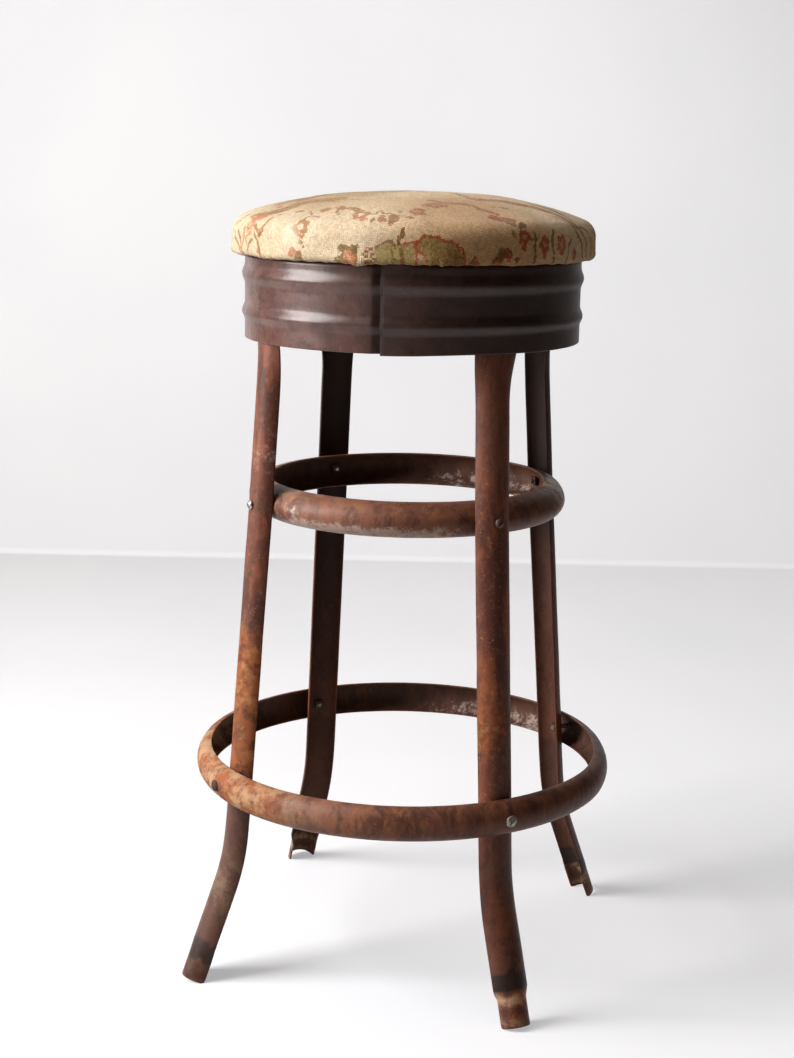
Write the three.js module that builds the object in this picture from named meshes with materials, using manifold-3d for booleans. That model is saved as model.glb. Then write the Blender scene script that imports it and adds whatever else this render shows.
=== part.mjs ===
// A metal workshop stool with a round padded seat.
// Four legs, pressed from strip into half-round channels, are tied by two channel rings.
// Their flattened tops bend in as tabs, which carry a beaded steel skirt and the seat's board.
// Lengths are millimetres and +Z is up. The origin is on the floor, on the seat's axis,
// and the front is -Y.

import * as THREE from 'three';
import { mergeVertices } from 'three/addons/utils/BufferGeometryUtils.js';
import Module from 'manifold-3d';

const wasm = await Module();
wasm.setup();
const degrees = THREE.MathUtils.degToRad;

// Fits and cuts shared by every piece
const touchGap = 0.3; // air between two pieces that rest on each other
const holeClearance = 0.4; // between a screw's shank and the wall of its hole
const cutOverrun = 12; // how far a cutting solid runs past what it cuts

// Skirt: a rolled strip with two beads, lapped at one seam, with a turned-in top flange
const skirtRadius = 165;
const skirtBottom = 632;
const skirtHeight = 80.5;
const skirtSheet = 1.2;
const beadRise = 2.8;
const lowerBeadHeight = 25.5; // from the skirt's lower edge to the middle of the bead
const lowerBeadSpan = 19;
const upperBeadHeight = 62;
const upperBeadSpan = 21;
const skirtBend = 3; // outside radius where the wall turns into the flange
const flangeWidth = 28;
const seamAngle = degrees(-85.3);
const seamLap = 25; // length of the outer end that lies over the inner end
const seamJoggle = 3; // length of the step that lifts the outer end over the inner end
const seamNotch = 4; // flange cut away beside the joggle

// Legs: the strip keeps its width, and only its curl changes along the leg
const legStrip = 48.5;
const legSheet = 1.8;
const kneeSpread = 38; // how far the legs' outer line stands out from the skirt at the knee
const footSpread = 46.5; // how far it stands out from the knee at the floor
const kneeHeight = 122;
const kneeBend = 210;
const toeLength = 26;
const toeCurl = degrees(92); // half angle of the arc that the strip is curled to
const shankCurl = degrees(80);
const tabCurl = degrees(0.5);
const openingReach = 50; // the curl opens this far below and above the skirt's edge
const tabBend = 6;
const tabLength = 40;
const footWear = 1.2; // worn off the two tips that each foot stands on

// Rings: half-round channels open to the inside
const ringSheet = 1.6;
const lowerRingHeight = 198.5;
const lowerRingFace = 34; // height of the channel
const lowerRingDepth = 14.8; // from its edges to its crown
const upperRingHeight = 475.5;
const upperRingFace = 34;
const upperRingDepth = 21.4;

// Round-headed machine screws and square nuts that hold the rings
const ringScrewRadius = 2.4;
const ringScrewHead = 4.7;
const ringScrewDome = 2.9;
const ringScrewTail = 2.5; // thread that stands out of the nut
const nutHalfWidth = 4.4;
const nutThickness = 3.2;

// Wood screws through the tabs and the flange into the board
const seatScrewRadius = 1.9;
const seatScrewHead = 3.8;
const seatScrewDome = 2.2;
const seatScrewBite = 9; // depth in the board
const seatScrewPoint = 4;
const seatScrewInset = 21; // from the skirt's wall to the circle of the screws
const seatScrewSpread = 12; // to each side of the leg's middle

// Screw slots
const slotWidth = 1.2;
const slotDepth = 1.3;

// Seat: a plywood board, padding drawn over its rim, and a cloth cover turned under it
const boardOverhang = 5; // past the skirt's wall
const boardThickness = 12;
const boardChamfer = 1.5;
const clothThickness = 2;
const cushionOverhang = 12.6; // past the skirt's wall
const cushionHeight = 64; // from the cover's lower edge to the top of its crown
const crownRadius = 765;
const shoulderRadius = 17;
const tuckRadius = 6;
const tackCount = 16;
const tackPuff = 1.2; // how far the cloth swells between two tacks

// Smoothness
const roundSteps = 48;
const channelSteps = 8;
const beadSteps = 4;
const bendSteps = 2;
const kneeSteps = 5;
const openingSteps = 8;
const crownSteps = 4;
const shoulderSteps = 3;
const screwSteps = 10;
const domeSteps = 3;

// The legs' places round the stool, and how far each one's screw slots are turned
const places = [
  { name: 'front_right', azimuth: degrees(-45), slotTurn: degrees(40) },
  { name: 'back_right', azimuth: degrees(45), slotTurn: degrees(-15) },
  { name: 'back_left', azimuth: degrees(135), slotTurn: degrees(65) },
  { name: 'front_left', azimuth: degrees(-135), slotTurn: degrees(-30) },
];

// Sizes that follow from the ones above
const skirtInside = skirtRadius - skirtSheet;
const kneeRadius = skirtRadius + kneeSpread;
const footRadius = kneeRadius + footSpread;
const seatScrewCircle = skirtRadius - seatScrewInset;
const boardRadius = skirtRadius + boardOverhang;
const cushionRadius = skirtRadius + cushionOverhang;
const skirtTop = skirtBottom + skirtHeight;
const tabTop = skirtTop - skirtSheet - touchGap;
const boardBottom = skirtTop + touchGap;
const boardTop = boardBottom + boardThickness;
const coverBottom = boardBottom - touchGap - clothThickness;
const coverMouth = (skirtRadius + skirtSheet + 2 * touchGap) / Math.cos(Math.PI / roundSteps);
const legTopRadius = skirtInside * Math.cos(Math.PI / roundSteps) - touchGap;
const splay = Math.atan2(kneeRadius - legTopRadius, skirtBottom - kneeHeight);
const kick = Math.atan2(footRadius - kneeRadius, kneeHeight);

// Radius of a leg's outer line at a height on its straight upper shank
function legCrownRadius(height) {
  return kneeRadius - (height - kneeHeight) * Math.tan(splay);
}

// Size of a leg's arc when the strip is curled to a half angle
function curledStrip(curl) {
  const middle = legStrip / (2 * curl);
  return { outer: middle + legSheet / 2, inner: middle - legSheet / 2 };
}

// The lower ring goes round the legs, with its lower edge against their crowns.
// The upper ring fits inside the legs, with its crown against their edges.
const lowerRing = channelRing(
  legCrownRadius(lowerRingHeight - lowerRingFace / 2) + touchGap,
  lowerRingDepth, lowerRingFace, lowerRingHeight,
);
const upperRing = channelRing(
  radiusInsideLegs(upperRingHeight) - upperRingDepth,
  upperRingDepth, upperRingFace, upperRingHeight,
);

function channelRing(edge, depth, face, height) {
  return { edge, depth, crown: edge + depth, halfFace: face / 2, height };
}

// Largest radius that clears both corners of each leg's edges at a height
function radiusInsideLegs(height) {
  const arc = curledStrip(shankCurl);
  const reach = 1 - Math.cos(shankCurl);
  const corners = [
    { side: arc.outer * Math.sin(shankCurl), depth: arc.outer * reach },
    { side: arc.inner * Math.sin(shankCurl), depth: legSheet + arc.inner * reach },
  ];
  return Math.min(...corners.map(({ side, depth }) => {
    const radius = legCrownRadius(height) - depth / Math.cos(splay) - touchGap;
    return Math.hypot(radius, side);
  }));
}

// Evenly spaced values from one end to the other, both ends included
function spaced(from, to, steps) {
  return Array.from({ length: steps + 1 }, (_, i) => THREE.MathUtils.lerp(from, to, i / steps));
}

// Solid turned about +Z from points [radius, height], which run up the outside
function turned(outline, steps) {
  const points = outline.map(([radius, height]) => new THREE.Vector2(radius, height));
  return new THREE.LatheGeometry(points, steps).rotateX(Math.PI / 2);
}

// Solid skinned over a row of matching strip sections.
// Each section lists one face of the strip and then the other face backwards.
function skinned(sections) {
  const size = sections[0].length;
  const index = [];
  for (let k = 0; k + 1 < sections.length; k += 1) {
    for (let i = 0; i < size; i += 1) {
      const near = k * size;
      const far = near + size;
      const next = (i + 1) % size;
      index.push(near + i, near + next, far + next);
      index.push(near + i, far + next, far + i);
    }
  }
  const last = (sections.length - 1) * size;
  for (let i = 0; i + 1 < size / 2; i += 1) {
    const across = size - 1 - i;
    index.push(i, across - 1, i + 1);
    index.push(i, across, across - 1);
    index.push(last + i, last + i + 1, last + across - 1);
    index.push(last + i, last + across - 1, last + across);
  }
  const geometry = new THREE.BufferGeometry().setFromPoints(sections.flat());
  geometry.setIndex(index);
  return geometry;
}

function solidOf(geometry) {
  const bare = geometry.clone();
  bare.deleteAttribute('normal');
  bare.deleteAttribute('uv');
  const welded = mergeVertices(bare);
  const mesh = new wasm.Mesh({
    numProp: 3,
    vertProperties: new Float32Array(welded.attributes.position.array),
    triVerts: new Uint32Array(welded.index.array),
  });
  return new wasm.Manifold(mesh);
}

// Geometry left when the cutters are taken away from a geometry
function cut(geometry, cutters) {
  let solid = solidOf(geometry);
  for (const cutter of cutters) {
    solid = solid.subtract(solidOf(cutter));
  }
  const mesh = solid.getMesh();
  const left = new THREE.BufferGeometry();
  left.setAttribute('position', new THREE.BufferAttribute(mesh.vertProperties, 3));
  left.setIndex(new THREE.BufferAttribute(mesh.triVerts, 1));
  left.computeVertexNormals();
  return left;
}

// Cylinder from one height to another, on the Z axis
function rod(radius, from, to) {
  const cylinder = new THREE.CylinderGeometry(radius, radius, to - from, screwSteps);
  return cylinder.rotateX(Math.PI / 2).translate(0, 0, (from + to) / 2);
}

// The leg's outer line in its own plane, x outward and y up, with rounded corners
function roundedLine(corners, bends) {
  const line = new THREE.CurvePath();
  let start = corners[0];
  bends.forEach((radius, i) => {
    const corner = corners[i + 1];
    const back = corners[i].clone().sub(corner).normalize();
    const ahead = corners[i + 2].clone().sub(corner).normalize();
    const half = back.angleTo(ahead) / 2;
    const enter = corner.clone().addScaledVector(back, radius / Math.tan(half));
    const leave = corner.clone().addScaledVector(ahead, radius / Math.tan(half));
    const inward = back.clone().add(ahead).normalize();
    const centre = corner.clone().addScaledVector(inward, radius / Math.sin(half));
    const from = enter.clone().sub(centre).angle();
    const to = leave.clone().sub(centre).angle();
    const clockwise = back.cross(ahead) > 0;
    line.add(new THREE.LineCurve(start, enter));
    line.add(new THREE.EllipseCurve(centre.x, centre.y, radius, radius, from, to, clockwise));
    start = leave;
  });
  line.add(new THREE.LineCurve(start, corners[corners.length - 1]));
  return line;
}

// Section of the curled strip as [side, depth behind the outer line]
function legSection(curl) {
  const arc = curledStrip(curl);
  const angles = spaced(-curl, curl, channelSteps);
  const outside = angles.map((a) => [arc.outer * Math.sin(a), arc.outer * (1 - Math.cos(a))]);
  const inside = angles.map((a) => [
    arc.inner * Math.sin(a),
    legSheet + arc.inner * (1 - Math.cos(a)),
  ]);
  return [...outside, ...inside.reverse()];
}

function legGeometry() {
  const toe = curledStrip(toeCurl);
  const tipDepth = legSheet + toe.inner * (1 - Math.cos(toeCurl));
  const toeLift = tipDepth * Math.sin(kick) - footWear;
  const line = roundedLine([
    new THREE.Vector2(footRadius - toeLift * Math.tan(kick), toeLift),
    new THREE.Vector2(kneeRadius, kneeHeight),
    new THREE.Vector2(legCrownRadius(tabTop), tabTop),
    new THREE.Vector2(legCrownRadius(tabTop) - tabLength, tabTop),
  ], [kneeBend, tabBend]);
  const [, kneeStart, kneeEnd, topStart, topEnd, whole] = [0, ...line.getCurveLengths()];
  const openingMiddle = kneeEnd + (skirtBottom - kneeHeight) / Math.cos(splay)
    - kneeBend * Math.tan((kick - splay) / 2);
  const openingStart = openingMiddle - openingReach;
  const openingEnd = openingMiddle + openingReach;
  const stations = [
    0,
    toeLength,
    ...spaced(kneeStart, kneeEnd, kneeSteps),
    ...spaced(openingStart, openingEnd, openingSteps),
    ...spaced(topStart, topEnd, bendSteps + 1),
    whole,
  ];
  const sections = stations.map((distance) => {
    const share = distance / whole;
    const point = line.getPoint(share);
    const along = line.getTangent(share);
    const opened = THREE.MathUtils.smoothstep(distance, openingStart, openingEnd);
    const curl = distance < toeLength
      ? toeCurl
      : THREE.MathUtils.lerp(shankCurl, tabCurl, opened);
    return legSection(curl).map(([side, depth]) => (
      new THREE.Vector3(point.x - depth * along.y, side, point.y + depth * along.x)
    ));
  });
  const floor = new THREE.BoxGeometry(footRadius, legStrip, cutOverrun);
  floor.translate(footRadius, 0, -cutOverrun / 2);
  return cut(skinned(sections), [
    floor,
    ...ringBolts.map((bolt) => bolt.hole()),
    ...seatScrewHoles(seatScrewRadius + holeClearance, tabTop - cutOverrun, tabTop + cutOverrun),
  ]);
}

// Holes for one leg's two seat screws, in the leg's own frame
function seatScrewHoles(radius, from, to) {
  return [-seatScrewSpread, seatScrewSpread].map((side) => (
    rod(radius, from, to).translate(seatScrewCircle, side, 0)
  ));
}

// How far the wall of a curved channel rises beside its middle, facets included
function bow(halfWidth, across, rise, stepAngle) {
  const round = rise * (1 - Math.sqrt(1 - (halfWidth / across) ** 2));
  return round + rise * (1 - Math.cos(stepAngle / 2));
}

// A screw through a ring and a leg, in the leg's own frame.
// Its axis passes through a point of the ring's crown and leans by tilt.
function ringBolt(name, ring, tilt, headDistance, nutDistance) {
  const seat = new THREE.Object3D();
  const out = new THREE.Vector3(Math.cos(tilt), 0, Math.sin(tilt));
  seat.position.set(ring.crown, 0, ring.height).addScaledVector(out, headDistance);
  seat.rotation.y = Math.PI / 2 - tilt;
  seat.updateMatrix();
  const nutFace = headDistance + nutDistance;
  const length = nutFace + nutThickness + ringScrewTail;
  const holeRadius = ringScrewRadius + holeClearance;
  const hole = () => rod(holeRadius, -length, ringScrewDome).applyMatrix4(seat.matrix);
  return { name, seat, nutFace, length, hole };
}

// The lower screws' heads sit on the ring and their nuts inside the legs.
// The upper screws' heads sit on the legs, square to them, and their nuts inside the ring.
const shankArc = curledStrip(shankCurl);
const insideRise = upperRing.depth - ringSheet;
const nutLean = nutHalfWidth * Math.tan(splay);
const ringBolts = [
  ringBolt(
    'lower', lowerRing, 0, touchGap,
    lowerRing.crown - legCrownRadius(lowerRing.height) + legSheet + nutLean + touchGap
      + bow(nutHalfWidth, shankArc.inner, shankArc.inner, 2 * shankCurl / channelSteps),
  ),
  ringBolt(
    'upper', upperRing, splay,
    (legCrownRadius(upperRing.height) - upperRing.crown) * Math.cos(splay) + touchGap,
    ringSheet + nutLean + nutHalfWidth * Math.tan(Math.PI / roundSteps) + touchGap
      + bow(nutHalfWidth, upperRing.halfFace - ringSheet, insideRise, Math.PI / channelSteps),
  ),
];

// A ring's channel, with a hole at each leg
function ringGeometry(ring, bolt) {
  const angles = spaced(-Math.PI / 2, Math.PI / 2, channelSteps);
  const face = (inset) => angles.map((a) => [
    ring.edge + (ring.depth - inset) * Math.cos(a),
    ring.height + (ring.halfFace - inset) * Math.sin(a),
  ]);
  const outside = face(0);
  const outline = [...outside, ...face(ringSheet).reverse(), outside[0]];
  const holes = places.map(({ azimuth }) => bolt.hole().rotateZ(azimuth));
  return cut(turned(outline, roundSteps), holes);
}

// Height and outward rise of a bead's points
function bead(height, span) {
  return spaced(-1, 1, beadSteps).map((share) => [
    height + share * span / 2,
    beadRise * (1 + Math.cos(Math.PI * share)) / 2,
  ]);
}

// The skirt's sheet as pairs of outer and inner points [radius, height], bottom first.
// Where it is straightened, the sheet has no flange and its wall runs straight up.
function skirtSection(lift, straightened) {
  const wall = [[0, 0], ...bead(lowerBeadHeight, lowerBeadSpan), ...bead(upperBeadHeight, upperBeadSpan)];
  const pairs = wall.map(([height, rise]) => [
    [skirtRadius + rise, height],
    [skirtInside + rise, height],
  ]);
  pairs[0] = [[skirtRadius, 0], [skirtInside, 0]];
  const bendHeight = skirtHeight - skirtBend;
  if (straightened) {
    const heights = spaced(bendHeight, skirtHeight, bendSteps + 1);
    pairs.push(...heights.map((height) => [[skirtRadius, height], [skirtInside, height]]));
  } else {
    const bendRadius = skirtRadius - skirtBend;
    const inner = skirtBend - skirtSheet;
    pairs.push(...spaced(0, Math.PI / 2, bendSteps).map((a) => [
      [bendRadius + skirtBend * Math.cos(a), bendHeight + skirtBend * Math.sin(a)],
      [bendRadius + inner * Math.cos(a), bendHeight + inner * Math.sin(a)],
    ]));
    const rim = skirtRadius - flangeWidth;
    pairs.push([[rim, skirtHeight], [rim, skirtHeight - skirtSheet]]);
  }
  const outside = pairs.map(([point]) => point);
  const inside = pairs.map(([, point]) => point).reverse();
  return [...outside, ...inside].map(([radius, height]) => [radius + lift, height]);
}

// The strip starts under the seam's lap, runs once round and ends on top of its own start
function skirtGeometry() {
  const turn = 2 * Math.PI;
  const lap = seamLap / skirtRadius;
  const lapLift = skirtSheet + touchGap;
  const joggleEnd = turn - skirtSheet / skirtRadius;
  const joggleStart = joggleEnd - seamJoggle / skirtRadius;
  const notchStart = joggleStart - seamNotch / skirtRadius;
  const flangeEnd = notchStart - skirtSheet / skirtRadius;
  const stations = [
    ...spaced(0, flangeEnd, roundSteps - 1).map((angle) => ({ angle, lift: 0, plain: false })),
    { angle: notchStart, lift: 0, plain: true },
    { angle: joggleStart, lift: 0, plain: true },
    ...spaced(joggleEnd, turn + lap, 2).map((angle) => ({ angle, lift: lapLift, plain: true })),
  ];
  const sections = stations.map(({ angle, lift, plain }) => (
    skirtSection(lift, plain).map(([radius, height]) => {
      const azimuth = seamAngle + lap - angle;
      const x = radius * Math.cos(azimuth);
      const y = radius * Math.sin(azimuth);
      return new THREE.Vector3(x, y, skirtBottom + height);
    })
  ));
  return cut(skinned(sections), boardHoles(tabTop, boardBottom + touchGap));
}

// The seat screws' holes at all four legs
function boardHoles(from, to) {
  return places.flatMap(({ azimuth }) => (
    seatScrewHoles(seatScrewRadius + holeClearance, from, to).map((hole) => hole.rotateZ(azimuth))
  ));
}

function boardGeometry() {
  const rim = boardRadius - boardChamfer;
  const disc = turned([
    [0, boardBottom],
    [rim, boardBottom],
    [boardRadius, boardBottom + boardChamfer],
    [boardRadius, boardTop - boardChamfer],
    [rim, boardTop],
    [0, boardTop],
  ], roundSteps);
  return cut(disc, boardHoles(skirtTop, boardBottom + seatScrewBite + touchGap));
}

// The cushion's outline at an inset from the cloth's outside, from the tuck up to the axis
function cushionOutline(inset) {
  const crownCentre = coverBottom + cushionHeight - crownRadius;
  const shoulderCentre = cushionRadius - shoulderRadius;
  const reach = crownRadius - shoulderRadius;
  const meeting = Math.asin(shoulderCentre / reach);
  const shoulderHeight = crownCentre + reach * Math.cos(meeting);
  const arc = (radius, height, size, angles) => angles.map((a) => [
    radius + (size - inset) * Math.sin(a),
    height + (size - inset) * Math.cos(a),
  ]);
  return [
    ...arc(cushionRadius - tuckRadius, coverBottom + tuckRadius, tuckRadius,
      spaced(Math.PI, Math.PI / 2, bendSteps)),
    ...arc(shoulderCentre, shoulderHeight, shoulderRadius,
      spaced(Math.PI / 2, meeting, shoulderSteps)),
    ...arc(0, crownCentre, crownRadius, spaced(meeting, 0, crownSteps)).slice(1),
  ];
}

// Cloth cover: an open shell that is turned under the board and swells between its tacks
function coverGeometry() {
  const outline = [
    [coverMouth, coverBottom],
    ...cushionOutline(0),
    ...cushionOutline(clothThickness).reverse(),
    [coverMouth, coverBottom + clothThickness],
    [coverMouth, coverBottom],
  ];
  const cover = turned(outline, roundSteps);
  const position = cover.attributes.position;
  const point = new THREE.Vector3();
  const puffTop = coverBottom + shoulderRadius + tuckRadius;
  for (let i = 0; i < position.count; i += 1) {
    point.fromBufferAttribute(position, i);
    const radius = Math.hypot(point.x, point.y);
    const high = THREE.MathUtils.smoothstep(point.z, coverBottom + clothThickness, puffTop);
    const wide = THREE.MathUtils.smoothstep(radius, coverMouth, cushionRadius - clothThickness);
    const wave = (1 + Math.cos(tackCount * Math.atan2(point.y, point.x))) / 2;
    const puff = 1 + tackPuff * wide * (1 - high) * wave / cushionRadius;
    position.setXY(i, point.x * puff, point.y * puff);
  }
  return cover;
}

// Padding between the board and the cover, drawn down over the board's rim
function paddingGeometry() {
  const outside = cushionOutline(clothThickness + touchGap).slice(1);
  const rim = boardRadius + touchGap;
  const [, hem] = outside[0];
  return turned([
    [rim, hem],
    ...outside,
    [0, boardTop + touchGap],
    [rim, boardTop + touchGap],
    [rim, hem],
  ], roundSteps);
}

// Slotted screw with its head above z = 0 and its shank below
function screwGeometry({ radius, head, dome, length, point, tip }) {
  const roundness = spaced(0, Math.PI / 2, domeSteps).map((a) => [
    head * Math.cos(a),
    dome * Math.sin(a),
  ]);
  const screw = turned([
    [0, -length],
    [tip, -length],
    [radius, point - length],
    [radius, 0],
    ...roundness,
  ], screwSteps);
  const slot = new THREE.BoxGeometry(slotWidth, 2 * head + cutOverrun, slotDepth + cutOverrun);
  slot.translate(0, 0, dome + cutOverrun / 2 - slotDepth / 2);
  return cut(screw, [slot]);
}

function nutGeometry(nutFace) {
  const width = 2 * nutHalfWidth;
  const block = new THREE.BoxGeometry(width, width, nutThickness);
  block.translate(0, 0, -nutFace - nutThickness / 2);
  const hole = rod(ringScrewRadius + touchGap, -nutFace - nutThickness - cutOverrun, cutOverrun - nutFace);
  return cut(block, [hole]);
}

function mesh(name, geometry, material) {
  const piece = new THREE.Mesh(geometry, material);
  piece.name = name;
  return piece;
}

// Everything at one leg, in the leg's own frame with x outward
function legGroup({ name, azimuth, slotTurn }) {
  const group = new THREE.Group();
  group.rotation.z = azimuth;
  group.add(mesh(`leg_${name}`, legShape, legPaint));
  ringBolts.forEach((bolt, i) => {
    const stack = new THREE.Group();
    stack.position.copy(bolt.seat.position);
    stack.rotation.copy(bolt.seat.rotation);
    const screw = mesh(`${bolt.name}_screw_${name}`, ringScrewShapes[i], brightSteel);
    screw.rotation.z = slotTurn;
    stack.add(screw, mesh(`${bolt.name}_nut_${name}`, nutShapes[i], dullSteel));
    group.add(stack);
  });
  [['left', seatScrewSpread], ['right', -seatScrewSpread]].forEach(([hand, side]) => {
    const screw = mesh(`seat_screw_${name}_${hand}`, seatScrewShape, dullSteel);
    screw.position.set(seatScrewCircle, side, seatScrewSeat);
    screw.rotation.set(Math.PI, 0, slotTurn);
    group.add(screw);
  });
  return group;
}

const legPaint = new THREE.MeshStandardMaterial({ color: 0x4a2c20, roughness: 0.6, metalness: 0.5 });
const ringPaint = new THREE.MeshStandardMaterial({ color: 0x56331f, roughness: 0.65, metalness: 0.5 });
const skirtPaint = new THREE.MeshStandardMaterial({ color: 0x3e241d, roughness: 0.45, metalness: 0.5 });
const brightSteel = new THREE.MeshStandardMaterial({ color: 0x8d8a84, roughness: 0.4, metalness: 0.9 });
const dullSteel = new THREE.MeshStandardMaterial({ color: 0x5a4a40, roughness: 0.6, metalness: 0.8 });
const plywood = new THREE.MeshStandardMaterial({ color: 0x9a7448, roughness: 0.8, metalness: 0 });
const wadding = new THREE.MeshStandardMaterial({ color: 0xcfc2a6, roughness: 1, metalness: 0 });
const tapestry = new THREE.MeshStandardMaterial({ color: 0xcdb58a, roughness: 0.95, metalness: 0 });

const seatScrewSeat = tabTop - legSheet - touchGap;
const legShape = legGeometry();
const ringScrewShapes = ringBolts.map(({ length }) => screwGeometry({
  radius: ringScrewRadius,
  head: ringScrewHead,
  dome: ringScrewDome,
  length,
  point: ringScrewRadius / 3,
  tip: ringScrewRadius * 2 / 3,
}));
const nutShapes = ringBolts.map(({ nutFace }) => nutGeometry(nutFace));
const seatScrewShape = screwGeometry({
  radius: seatScrewRadius,
  head: seatScrewHead,
  dome: seatScrewDome,
  length: boardBottom + seatScrewBite - seatScrewSeat,
  point: seatScrewPoint,
  tip: seatScrewRadius / 3,
});

const stool = new THREE.Group();
stool.name = 'workshop_stool';
stool.add(
  ...places.map(legGroup),
  mesh('lower_foot_ring', ringGeometry(lowerRing, ringBolts[0]), ringPaint),
  mesh('upper_ring', ringGeometry(upperRing, ringBolts[1]), ringPaint),
  mesh('skirt_band', skirtGeometry(), skirtPaint),
  mesh('seat_board', boardGeometry(), plywood),
  mesh('seat_padding', paddingGeometry(), wadding),
  mesh('seat_cover', coverGeometry(), tapestry),
);

export default stool;
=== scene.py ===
# A metal workshop stool with a round seat in floral tapestry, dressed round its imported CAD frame.
# Lengths are metres in the frame's own axes: +Z up, -Y the front, the origin on the floor.

import itertools
import math

import bmesh
import bpy
import numpy as np
from mathutils import Matrix, Vector


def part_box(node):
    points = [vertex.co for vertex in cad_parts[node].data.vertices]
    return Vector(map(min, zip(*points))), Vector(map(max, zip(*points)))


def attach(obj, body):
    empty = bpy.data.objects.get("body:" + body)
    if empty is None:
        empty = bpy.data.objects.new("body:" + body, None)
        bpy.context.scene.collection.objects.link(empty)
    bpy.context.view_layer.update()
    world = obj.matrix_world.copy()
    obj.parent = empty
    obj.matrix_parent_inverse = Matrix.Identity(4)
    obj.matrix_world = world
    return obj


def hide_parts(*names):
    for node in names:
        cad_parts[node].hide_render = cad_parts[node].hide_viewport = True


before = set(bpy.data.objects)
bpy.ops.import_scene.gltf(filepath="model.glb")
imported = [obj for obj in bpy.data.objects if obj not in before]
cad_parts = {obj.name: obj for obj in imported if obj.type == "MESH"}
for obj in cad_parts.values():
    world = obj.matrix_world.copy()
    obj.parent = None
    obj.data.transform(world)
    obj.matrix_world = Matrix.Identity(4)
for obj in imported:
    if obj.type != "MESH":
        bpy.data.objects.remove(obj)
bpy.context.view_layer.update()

# The direction of the camera, turned from the front
VIEW_DEGREES = 14.75
VIEW_AZIMUTH = math.radians(VIEW_DEGREES)

# Fits and the sheets' rounded edges
TOUCH_GAP = 0.0003
EDGE_CUT_SHARE = 0.28
EDGE_REACH_SHARE = 0.3
EDGE_INNER_SHARE = 0.4

# Skirt
SKIRT_RADIUS = 0.165
SKIRT_BOTTOM = 0.632
SKIRT_HEIGHT = 0.0805
SKIRT_SHEET = 0.0012
BEAD_RISE = 0.0028
LOWER_BEAD_HEIGHT = 0.0255
LOWER_BEAD_SPAN = 0.019
UPPER_BEAD_HEIGHT = 0.062
UPPER_BEAD_SPAN = 0.021
SKIRT_BEND = 0.003
SKIRT_WAVE = 0.00025
FLANGE_WIDTH = 0.028
SEAM_DEGREES = -85.3
SEAM_ANGLE = math.radians(SEAM_DEGREES)
SEAM_LAP = 0.025
SEAM_NOTCH = 0.004
SEAM_SINK = 0.0032  # how far the inner end dips before it passes under the outer one
SEAM_SINK_SHARE = 0.97
SEAM_SLOPE = 0.009
SEAM_ROLL = 0.0009  # how far the outer end's last stretch turns inward
SEAM_ROLL_REACH = 0.0035
SEAM_DROP = 0.0016  # how much lower the outer end hangs than the rest of the skirt
SEAM_DROP_REACH = 0.09
SEAM_DROP_SHARE = 0.6
# Rows at the outer end painted dark and rough, as painted shade at the seam
SEAM_SHADED_ROWS = 7

# Points along the skirt's section and round the skirt
FLAT_POINTS = 6
BEAD_POINTS = 21
BEND_POINTS = 7
FLANGE_POINTS = 3
LAP_POINTS = 24
SLOPE_POINTS = 20
ROUND_POINTS = 360
END_POINTS = 28
ROLL_POINTS = 10

# Where the skirt is darker and rustier: directions in degrees, heights up from its lower edge. The
# darkening is painted shade, on the side away from the lamps and at the seam
SKIRT_SHADED_SIDE = -20
SKIRT_SHADE_REACH = (40, 100)
SEAM_SHADE_REACH = 9
SKIRT_RUST_HEIGHTS = (0.004, 0.03)

# Legs
LEG_STRIP = 0.0485
LEG_SHEET = 0.0018
KNEE_RADIUS = 0.203
FOOT_RADIUS = 0.2495
KNEE_HEIGHT = 0.122
KNEE_BEND = 0.21
LEG_TOP_RADIUS = 0.16315
TOE_LENGTH = 0.026
TOE_BLEND_BELOW = 0.001
TOE_BLEND_ABOVE = 0.010
SHANK_CURL = math.radians(80)
SHIN_CURL = math.radians(73)
SHIN_TOP = 0.115
TAB_CURL = math.radians(0.5)
OPENING_REACH = 0.05
TAB_BEND = 0.006
TAB_LENGTH = 0.04
TAB_BEND_POINTS = 8
TAB_POINTS = 12
FOOT_WEAR = 0.0012
LEG_WAVE = 0.0003  # unevenness left by the press
LEG_WAVE_CELL = 0.035
LEG_STATION = 0.0045
STRIP_POINTS = 27

# Rings
RING_SHEET = 0.0016
LOWER_RING_HEIGHT = 0.1985
LOWER_RING_EDGE = 0.19865
LOWER_RING_DEPTH = 0.0148
UPPER_RING_HEIGHT = 0.4755
UPPER_RING_EDGE = 0.13906
UPPER_RING_DEPTH = 0.0214
RING_HALF_FACE = 0.017
RING_BEND_REACH = 30
RING_BENDS = {"lower_foot_ring": -0.003, "upper_ring": -0.004}
RING_WAVE = 0.00022
RING_WAVE_SHARES = (0.25, 0.6)
RING_EDGE_ANGLE = 0.02
RING_POINTS = 288

# Wear and painted light round the rings: middle and reach in degrees, and shares of a half turn from
# the light side. The lit side is painted paler with ochre and dust, partly painted light, and the far
# side and the inside at the back are darkened with painted shade
LIGHT_SIDE = -150
LIT_OCHRE_SHARES = (0.05, 0.4)
LIT_RUST_SHARES = (0.1, 0.42)
SHADE_SIDE_SHARES = (0.3, 0.7)
LIT_DUST_SHARES = (0.3, 0.6)
SHADED_BEHIND = (150, 70)
DUSTY_INSIDE = (68, 62)
UPPER_CHALK = (-92, 58)
UPPER_SPECKS = (-116, 22)
UPPER_OCHRE = (4, 24)
LOWER_BARE = (-110, 35)

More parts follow.
